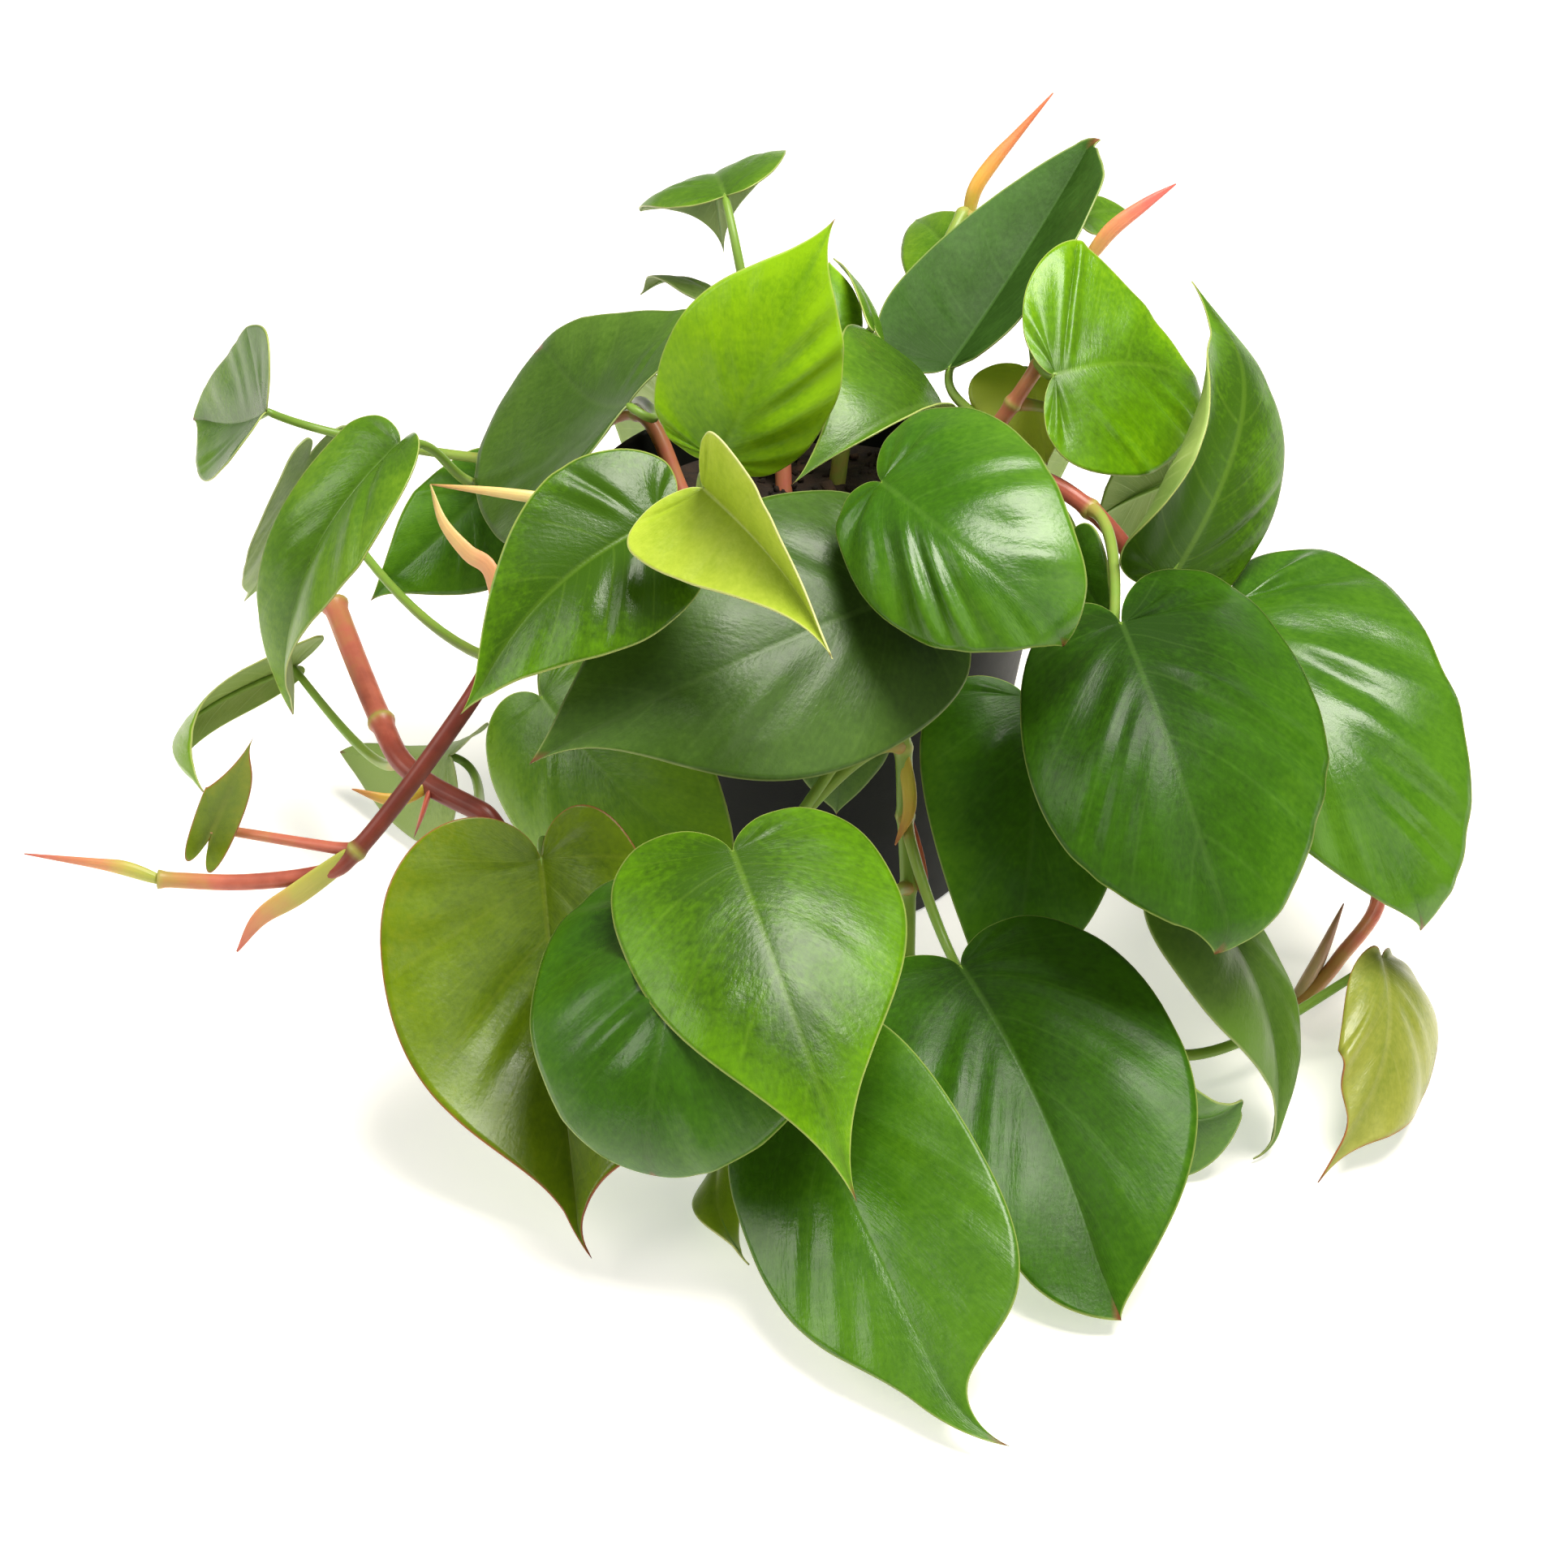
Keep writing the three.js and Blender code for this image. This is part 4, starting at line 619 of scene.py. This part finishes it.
    "back_pale": heart("top", 5, (43.6, 73.4, 159.3), (31.6, 116, 158.4), "mid", 27, uneven=0.92, roll=-3,
        folds=(9, 12), cups=(-25, -22), arch=10, skew=3, wide=(0.17, 0.18), full=(0.61, 0.62), point=0.14,
        drip=0.85, bend=60, leave=(0.3, 0, 0.2)),
    "back_top_small": heart("top", 7, (80.9, 82, 174.5), (97.6, 96, 169.7), "mid", 18, roll=-32,
        leave=(0.5, 0, 0.6)),
    # yellow_inner's tone goes past the freshest end. Its lime is its own, but pushed to the palest it also
    # paints in light, as the leaf lies in the shade of the leaves round it.
    "yellow_inner": heart("right_top", 1, (62.9, 36, 144.6), (68.4, 17, 122), "lime", 38, tone=1.3,
        pleat=0.3, roll=-1, full=(0.3, 0.6)),
    "brown_under": heart("right_top", 3, (107, 30, 110), (83, 8, 109), "dull", 34, roll=150,
        leave=(0, 0, 0.4)),
    "striped_inner": heart("right", 1, (72, -24, 116), (85, -46, 102), "dark", 26, roll=50),
    "inner_hang": heart("front", 3, (5.7, -76, 97.2), (4.7, -76, 59.2), "dull", 33, tone=0.4, pleat=0.2,
        folds=(14, 14), leave=(-0.8, 0, 0.6), roll=-22),
    "left_behind_big": heart("left_low", 2, (-67, -40, 84), (-80, -46, 72), "dark", 26,
        leave=(0, -0.8, -0.3)),
    "twisted_tip": heart("front", 6, (-27, -165, 8), (-19, -205, 7), "mid", 14, skin="lime", tone=0.3,
        pleat=0.1, roll=40, twist=120, curl=40, skew=10),
    "right_low_curl": heart("right_front", 5, (90.2, -161.6, 20), (114.3, -156.8, 22.7), "dark", 34,
        uneven=1.07, roll=54, folds=(12, 33), cups=(-39, -5), arch=17, skew=2, curl=90, hook=90,
        wide=(0.25, 0.16), full=(0.34, 0.41), point=(0.02, 0.31), drip=0.8),
    "left_pale": heart("left_low", 4, (-112.5, -11.4, 37.8), (-152, 28.2, 16), "grey", 36, tone=0.9,
        pleat=0.2, uneven=0.6, roll=9, folds=(-8, -17), cups=(-16, -53), arch=-5, skew=-6, lobe=(0.11, 0.26),
        wide=(0.22, 0.14), full=(0.49, 0.64), point=(0.17, 0.42), drip=0.91, bend=112,
        leave=(0.1, -0.2, -0.3)),
    "left_curled": heart("left_front", 5, (-173.2, -74.2, 51.8), (-158.2, -75.3, 84.9), "olive", 13,
        uneven=0.97, roll=25, folds=(-9, 8), cups=(-26, 20), arch=-4, skew=1, lobe=0.3, wide=(0.34, 0.09),
        full=(0.3, 0.8), point=0.02, drip=0.64, bend=60, leave=(0, 0, 0), side=30, stalk=(0.75, 0.5)),
    "back_high": heart("back", 3, (8, 88, 124), (18, 146, 66), "mid", 70, roll=180, full=0.66),
    "back_left": heart("back", 5, (-44, 100, 100), (-62, 148, 40), "dark", 66, roll=190, full=0.7),
    "back_right": heart("top", 8, (60, 82, 98), (76, 124, 36), "dark", 64, roll=170, full=0.7,
        leave=(1.6, -0.4, 0.4)),
    "back_low": heart("back", 6, (-4, 106, 52), (6, 146, 6), "mid", 56, roll=180),
}
# Each skin's deep, middle and fresh tissue, its veins and its margin, its roughness and its gloss
SKINS = {
    "bright": ("#36580a", "#5a8a06", "#86b40c", "#8fb63a", "#b2bf66", 0.27, 0.34),
    "mid": ("#335210", "#4f7814", "#739a20", "#82a44a", "#aebb68", 0.28, 0.44),
    "dark": ("#22400a", "#36620a", "#507f14", "#68903c", "#a2b260", 0.25, 0.46),
    "dull": ("#2c4610", "#40601a", "#587a28", "#6c8a44", "#98a862", 0.34, 0.36),
    "olive": ("#475f04", "#667f04", "#868f0c", "#9aa23c", "#a65a3c", 0.3, 0.42),
    "lime": ("#7a9416", "#98b028", "#b6c840", "#bcc862", "#d2d48c", 0.34, 0.42),
    "yellow": ("#76822a", "#989c40", "#b6b25e", "#c0bc7a", "#a9683a", 0.3, 0.5),
    "grey": ("#395221", "#67823e", "#8aa258", "#94aa6e", "#a4b178", 0.44, 0.22),
    "shade": ("#2c4a16", "#3f6424", "#577c36", "#628648", "#98a862", 0.42, 0.1),
    "deep": ("#22400a", "#36620a", "#507f14", "#68903c", "#a2b260", 0.34, 0.22),
}
UNDERSIDE = ("#6d8a3a", "#86a04a", "#9fb562", "#b2c47e")
DRIP_TIP = "#7a4a2c"
LIGHT = Vector((0, -0.84, 0.54))
LOBE_END = 0.4
BLADE = 0.5
LARGE_NET = (52, 84)
SMALL_NET = (28, 44)
SMALL_LEAF = 45
SIDE_VEINS = 7
VEIN_START = 0.3
PLEAT_START = 14
PLEAT_FADE = 5
BUCKLES = ((22, 0, 0.8), (9, 5, 0.2))
GROOVE = 0.4
GROOVE_WIDTH = 1.5
GROOVE_FADE = 0.8
PETIOLE_SIDES = 12
PETIOLE_FOOT = 1.8
PETIOLE_TOP = 1.25
PETIOLE_REACH = 0.38
PETIOLE_SUNK = 1.1
PETIOLE_ROWS = 26
FLARE = 0.35
FLARE_LENGTH = 3.5
KEEL_ROWS = 18
KEEL_END = 0.9
KEEL_WIDTH = 0.8
KEEL_TIP = 0.12
KEEL_SUNK = 0.05
# Patches of lighter and darker tissue: their size, their detail and how much they change the tone
MOTTLES = ((71.4, 2, 0.4), (13.3, 4, 0.25), (1.92, 3, 0.25))
LEATHER = 1.25
WAX_PATCH = 25
BACK_PATCH = 20
MARGIN_PATCH = 8.33
BLADE_GRAIN = (30, 110, 1)


def of_half(value, right):
    """A value of a leaf that may differ between its left and its right half."""
    return value[1 if right else 0] if isinstance(value, tuple) else value


def outline(v, leaf, right):
    """Half outline of the flat heart at v: x in half widths and y in lengths from the sinus."""
    wide = of_half(leaf["wide"], right)
    if v < LOBE_END:
        t = v / LOBE_END
        lobe = of_half(leaf["lobe"], right)
        return cubic(0, 0.1, 1, 1, t), cubic(0, -1.2 * lobe, -1.85 * lobe, wide, t)
    t = (v - LOBE_END) / (1 - LOBE_END)
    full = of_half(leaf["full"], right)
    return cubic(1, 1, of_half(leaf["point"], right), 0, t), cubic(wide, full, leaf["drip"], 1, t)


def cross_arc(fold, cup, t):
    """Across a half blade, which leaves the midrib at fold and turns by cup up to the edge."""
    if abs(cup) < 1e-4:
        return t * math.cos(fold), t * math.sin(fold)
    turned = fold + cup * t
    return (math.sin(turned) - math.sin(fold)) / cup, (math.cos(fold) - math.cos(turned)) / cup


def leaf_axes(leaf):
    """The sinus, the directions along, out of the face and across, and the length."""
    base = leaf["base"]
    along = leaf["tip"] - base
    length = along.length
    along.normalize()
    out = (LIGHT - along * LIGHT.dot(along)).normalized()
    roll = math.radians(leaf["roll"])
    out = out * math.cos(roll) + along.cross(out) * math.sin(roll)
    return base, along, out, along.cross(out), length


def spine(leaf, axes, y):
    """The midrib at y lengths from the sinus, with the directions across and out of the face there."""
    base, along, out, across, length = axes
    start = leaf["curl_from"]
    main = min(y, start)
    rise = leaf["arch"] / 100 * 4
    slope = rise * (1 - 2 * main)
    d = (along + out * slope).normalized()
    n = (out - along * slope).normalized()
    e = across.copy()
    point = base + along * (main * length) + out * (rise * main * (1 - main) * length)
    point += across * (leaf["skew"] / 100 * 4 * main * (1 - main) * length)
    if y > start:
        phi = max(1e-3, math.radians(leaf["curl"]) * ((y - start) / (1 - start)))
        hook = math.radians(leaf["hook"])
        b = n * -math.cos(hook) + e * math.sin(hook)
        rest = (y - start) * length
        point += d * (rest * math.sin(phi) / phi) + b * (rest * (1 - math.cos(phi)) / phi)
        change = b * math.cos(phi) - d * math.sin(phi) - b
        n, e = n + change * n.dot(b), e + change * e.dot(b)
    return point, e, n


def blade_net(leaf, number):
    """The blade's middle surface: veins run along rows of the net, from the midrib to the edge."""
    axes = leaf_axes(leaf)
    length = axes[4]
    folds = [math.radians(a) for a in leaf["folds"]]
    cups = [math.radians(a) for a in leaf["cups"]]

    def place(across, v):
        u = 2 * across - 1
        right = u >= 0
        side = 1 if right else 0
        sign = 1 if right else -1
        reach = abs(u)
        edge_x, edge_y = outline(v, leaf, right)
        start = 0 if v < VEIN_START else ((v - VEIN_START) / (1 - VEIN_START)) ** 1.8
        x = reach * edge_x
        y = start + (edge_y - start) * reach ** 1.3
        half = leaf["width"] / 2 * (leaf["uneven"] if right else 2 - leaf["uneven"])
        cx, cz = cross_arc(folds[side], cups[side], x)
        cx, cz = cx * half * sign, cz * half
        cz += leaf["wave"] * math.sin(5 * math.pi * v + (0 if right else 2)) * reach * reach * min(1, 3 * x)
        turn = math.radians(leaf["twist"]) * y
        cx, cz = cx * math.cos(turn) - cz * math.sin(turn), cx * math.sin(turn) + cz * math.cos(turn)
        point, e, n = spine(leaf, axes, y)
        vein = math.hypot(half * edge_x, (edge_y - start) * length)
        shade = leaf["tone"] + 0.4 * (reach ** 1.6 - 0.3) + 0.35 * (v - 0.45)
        return (point + e * cx + n * cz) * MM, sign * x * half, (1 - reach) * vein, v, shade

    columns, rows = SMALL_NET if leaf["width"] < SMALL_LEAF else LARGE_NET
    bm = net(columns, rows, place, ["across", "edge", "vein", "tone"])
    layers = bm.verts.layers.float
    across, edge, vein = layers["across"], layers["edge"], layers["vein"]
    bm.normal_update()
    moves = []
    for vert in bm.verts:
        x, v = vert[across], vert[vein]
        side = 1 if x >= 0 else -1
        reach = min(1, abs(x) / PLEAT_START)
        ramp = reach * reach * (3 - 2 * reach)
        rim = 1 - math.exp(-vert[edge] / PLEAT_FADE)
        spot = Vector((v * 5, side * 3.1, number * 1.7))
        waves = SIDE_VEINS * v + 0.9 * noise.noise(spot)
        height = leaf["pleat"] * max(0.15, 0.75 + 1.5 * noise.noise(spot + Vector((x / 25, 7, 0))))
        fold = -math.cos(2 * math.pi * waves) * height * ramp * (0.35 + 0.65 * rim)
        buckle = sum(noise.noise(vert.co / (size * MM) + Vector((number, seed, 0))) * share * ramp
                     for size, seed, share in BUCKLES)
        groove = -GROOVE * math.exp(-(x / GROOVE_WIDTH) ** 2) * (1 - GROOVE_FADE * v)
        moves.append(vert.normal * ((fold + buckle + groove) * MM))
    for vert, move in zip(bm.verts, moves):
        vert.co += move
    return bm, axes


def vein_pattern(tree, raised, side_share, rib_share):
    """Sockets of a blade: mask of its veins, height for the bump, distance from the edge, v and grain."""
    flat = add(tree, "UVMap", uv_map="net")
    v = add(tree, "SeparateXYZ", {0: flat}, out="Y")
    across = add(tree, "Attribute", attribute_name="across", out="Fac")
    edge = add(tree, "Attribute", attribute_name="edge", out="Fac")
    distance = add(tree, "Math", {0: across}, operation="ABSOLUTE")
    strength = 0.0
    for count, width, share in ((SIDE_VEINS, 0.05, 1), (SIDE_VEINS * 4, 0.12, 0.4)):
        steps = add(tree, "Math", {0: v, 1: count}, operation="MULTIPLY")
        off = add(tree, "Math", {0: steps, 1: 0.5}, operation="PINGPONG")
        line = add(tree, "MapRange", {"Value": off, "From Max": width, "To Min": share * side_share,
                                      "To Max": 0.0}, interpolation_type="SMOOTHSTEP")
        strength = add(tree, "Math", {0: strength, 1: line}, operation="MAXIMUM")
    inner = add(tree, "MapRange", {"Value": edge, "From Min": 1.0, "From Max": 7.0})
    side = add(tree, "Math", {0: strength, 1: inner}, operation="MULTIPLY")
    rib = add(tree, "MapRange", {"Value": distance, "From Min": 0.3, "From Max": 1.3, "To Min": 1.0,
                                 "To Max": 0.0}, interpolation_type="SMOOTHSTEP")
    fade = add(tree, "MapRange", {"Value": v, "From Min": 0.1, "To Min": rib_share,
                                  "To Max": rib_share * 0.3})
    rib = add(tree, "Math", {0: rib, 1: fade}, operation="MULTIPLY")
    veins = add(tree, "Math", {0: side, 1: rib}, operation="MAXIMUM")
    stretch = add(tree, "Mapping", {"Vector": flat, "Scale": BLADE_GRAIN})
    grain = add(tree, "TexNoise", {"Vector": stretch, "Scale": 1, "Detail": 3})
    height = add(tree, "Math", {0: veins, 1: raised, 2: grain}, operation="MULTIPLY_ADD")
    return veins, height, edge, v, grain


def blade_skin(name, deep, mid, fresh, vein, margin, rough, gloss):
    """Upper face: a smooth waxy cuticle over green tissue, paler on the veins, the rim and by freshness."""
    material, tree, skin = start_material(f"{name}_leaf_cuticle")
    veins, height, edge, v, grain = vein_pattern(tree, -1.2, 0.14, 0.4)
    place = add(tree, "TexCoord", out="Object")
    tone = add(tree, "Attribute", attribute_name="tone", out="Fac")
    for size, detail, amount in MOTTLES:
        patch = add(tree, "TexNoise", {"Vector": place, "Scale": scale(size), "Detail": detail})
        shift = add(tree, "MapRange", {"Value": patch, "To Min": -amount, "To Max": amount})
        tone = add(tree, "Math", {0: tone, 1: shift}, operation="ADD")
    streak = add(tree, "MapRange", {"Value": grain, "To Min": -0.16, "To Max": 0.16})
    tone = add(tree, "Math", {0: tone, 1: streak}, operation="ADD")
    tissue = add(tree, "ValToRGB", {"Fac": tone},
                 [(0.0, linear(deep)), (0.5, linear(mid)), (1.0, linear(fresh))])
    light = add(tree, "Math", {0: veins, 1: 0.6}, operation="MULTIPLY")
    veined = add(tree, "Mix", {0: light, 6: tissue, 7: linear(vein)}, data_type="RGBA", out=2)
    rim = add(tree, "MapRange", {"Value": edge, "From Min": 0.1, "From Max": 0.55, "To Min": 0.7,
                                 "To Max": 0.0})
    rimmed = add(tree, "Mix", {0: rim, 6: veined, 7: linear(margin)}, data_type="RGBA", out=2)
    end = add(tree, "MapRange", {"Value": v, "From Min": 0.975, "From Max": 0.995})
    tipped = add(tree, "Mix", {0: end, 6: rimmed, 7: linear(DRIP_TIP)}, data_type="RGBA", out=2)
    leather = add(tree, "TexNoise", {"Vector": place, "Scale": scale(LEATHER), "Detail": 3})
    wrinkled = add(tree, "Math", {0: leather, 1: 0.8, 2: height}, operation="MULTIPLY_ADD")
    bump = add(tree, "Bump", {"Height": wrinkled, "Strength": 0.33, "Distance": 0.25 * MM})
    wax = add(tree, "TexNoise", {"Vector": place, "Scale": scale(WAX_PATCH), "Detail": 4})
    dull = add(tree, "MapRange", {"Value": wax, "From Min": 0.3, "From Max": 0.7,
                                  "To Min": rough - 0.05, "To Max": rough + 0.12})
    fill(tree, skin, {"Base Color": tipped, "Roughness": dull, "Normal": bump, "IOR": 1.45,
                      "Specular IOR Level": gloss})
    return material


def back_skin():
    """Underside: matt, grey-green, with the veins standing out paler."""
    deep, mid, fresh, vein = UNDERSIDE
    material, tree, skin = start_material("leaf_underside")
    veins, height = vein_pattern(tree, 1.6, 0.5, 1)[:2]
    place = add(tree, "TexCoord", out="Object")
    patch = add(tree, "TexNoise", {"Vector": place, "Scale": scale(BACK_PATCH), "Detail": 5})
    tissue = add(tree, "ValToRGB", {"Fac": patch},
                 [(0.25, linear(deep)), (0.5, linear(mid)), (0.8, linear(fresh))])
    veined = add(tree, "Mix", {0: veins, 6: tissue, 7: linear(vein)}, data_type="RGBA", out=2)
    bump = add(tree, "Bump", {"Height": height, "Strength": 0.5, "Distance": 0.2 * MM})
    fill(tree, skin, {"Base Color": veined, "Roughness": 0.55, "Normal": bump})
    return material


def margin_skin(name, code):
    """The thin horny rim of a blade, paler than the tissue."""
    material, tree, skin = start_material(f"{name}_leaf_margin")
    place = add(tree, "TexCoord", out="Object")
    patch = add(tree, "TexNoise", {"Vector": place, "Scale": scale(MARGIN_PATCH), "Detail": 3})
    pale = linear(code)
    colour = add(tree, "ValToRGB", {"Fac": patch}, [(0.3, [c * 0.8 for c in pale[:3]] + [1.0]), (0.7, pale)])
    fill(tree, skin, {"Base Color": colour, "Roughness": 0.4})
    return material


def petiole(leaf, axes, foot):
    """The leaf stalk: it leaves the stem, meets the blade from below and runs on as the midrib's keel."""
    base, along, out, across, length = axes
    rise = leaf["arch"] / 100 * 4
    d, n = (along + out * rise).normalized(), (out - along * rise).normalized()
    bend, side = math.radians(leaf["bend"]), math.radians(leaf["side"])
    arrive = (d * math.cos(side) + across * math.sin(side)) * math.cos(bend) + n * math.sin(bend)
    span = (base - foot).length
    leave = ((base - foot).normalized() + Vector(leaf["leave"])).normalized()
    end = base - n * PETIOLE_SUNK
    guides = (foot, foot + leave * (PETIOLE_REACH * span), end - arrive * (PETIOLE_REACH * span), end)
    path, widths, ages = [], [], []
    foot_age, top_age = leaf["stalk"]
    for k in range(PETIOLE_ROWS + 1):
        t = k / PETIOLE_ROWS
        path.append(cubic(*guides, t))
        flare = 1 + FLARE * math.exp(-(t * span / FLARE_LENGTH) ** 2)
        widths.append((PETIOLE_FOOT + (PETIOLE_TOP - PETIOLE_FOOT) * t) * flare)
        ages.append(top_age + (foot_age - top_age) * (1 - t) ** 3)
    for k in range(1, KEEL_ROWS + 1):
        y = KEEL_END * k / KEEL_ROWS
        width = KEEL_WIDTH * (1 - y) + KEEL_TIP
        point, e, n = spine(leaf, axes, y)
        path.append(point - n * (GROOVE * (1 - GROOVE_FADE * y) + width - KEEL_SUNK))
        widths.append(width)
        ages.append(0)
    return tube(path, widths, PETIOLE_SIDES, marks={"age": ages, "ring": [0] * len(ages)})


blade_skins = {name: blade_skin(name, *values) for name, values in SKINS.items()}
margin_skins = {name: margin_skin(name, values[4]) for name, values in SKINS.items()}
leaf_back = back_skin()
for number, (name, leaf) in enumerate(LEAVES.items()):
    slot, node, skin = f"leaf_{leaf['slot']}", f"leaf_{name}", leaf["skin"]
    bm, axes = blade_net(leaf, number)
    blade = finish_piece(f"blade_{name}", bm, [blade_skins[skin], leaf_back, margin_skins[skin]], node)
    body = blade.modifiers.new("blade", "SOLIDIFY")
    body.thickness = BLADE * MM
    body.offset = 0
    body.material_offset = 1
    body.material_offset_rim = 2
    stalk = petiole(leaf, axes, rounded(stems[leaf["stem"]], leaf["at"]))
    finish_piece(f"petiole_{name}", stalk, [stem_bark], node)


# Floor, light and camera
# A glowing white sweep under the plant, one strong soft box overhead and two weak ones at
# the sides, in dim surroundings. The camera looks down at the plant from the front.
FLOOR_SIZE = 12000
FLOOR_DROP = 0.2
FLOOR_WHITE = "#f6f1ec"
FLOOR_GLOW = 0.47
SURROUNDINGS = 0.15
CAMERA_TURN = 33
CAMERA_TARGET = Vector((-10, 0, 20)) * MM
CAMERA_DISTANCE = 950 * MM
CAMERA_LENS = 70
# Each lamp's name, its place and size in metres and its power in watts
LIGHTS = [
    ("overhead", (0.3, -0.1, 1.2), 0.6, 22),
    ("left", (-1.1, -0.3, 0.9), 0.7, 7),
    ("front_right", (0.8, -1.0, 0.8), 0.7, 3),
]
LAMP_TINT = (1, 0.97, 0.89)


def floor_point(u, v):
    """A point of the flat floor, a hair below the pot's foot."""
    return (Vector(((u - 0.5) * FLOOR_SIZE, (v - 0.5) * FLOOR_SIZE, -FLOOR_DROP)) * MM,)


floor_net = net(2, 2, floor_point)
floor_mesh = bpy.data.meshes.new("floor")
floor_net.to_mesh(floor_mesh)
floor_net.free()
paper, tree, skin = start_material("white_paper")
fill(tree, skin, {"Base Color": linear(FLOOR_WHITE), "Roughness": 0.8, "Specular IOR Level": 0.2,
                  "Emission Color": (1, 1, 1, 1), "Emission Strength": FLOOR_GLOW})
floor_mesh.materials.append(paper)
floor = bpy.data.objects.new("floor", floor_mesh)
bpy.context.scene.collection.objects.link(floor)

for name, spot, size, power in LIGHTS:
    lamp = bpy.data.lights.new(name, "AREA")
    lamp.size = size
    lamp.energy = power
    lamp.color = LAMP_TINT
    holder = bpy.data.objects.new(name, lamp)
    holder.location = spot
    holder.rotation_euler = (CAMERA_TARGET - Vector(spot)).to_track_quat("-Z", "Y").to_euler()
    bpy.context.scene.collection.objects.link(holder)

world = bpy.data.worlds.new("pale_surroundings")
world.use_nodes = True
air = world.node_tree
seen = add(air, "LightPath", out="Is Camera Ray")
strength = add(air, "MapRange", {"Value": seen, "To Min": SURROUNDINGS, "To Max": 1.0})
fill(air, air.nodes["Background"], {"Color": (1, 1, 1, 1), "Strength": strength})
bpy.context.scene.world = world
bpy.context.scene.view_settings.view_transform = "Standard"

lens = bpy.data.cameras.new("camera")
lens.lens = CAMERA_LENS
lens.sensor_width = 36
camera = bpy.data.objects.new("camera", lens)
tilt = math.radians(CAMERA_TURN)
camera.location = CAMERA_TARGET + CAMERA_DISTANCE * Vector((0, -math.cos(tilt), math.sin(tilt)))
camera.rotation_euler = (math.pi / 2 - tilt, 0, 0)
bpy.context.scene.collection.objects.link(camera)
bpy.context.scene.camera = camera
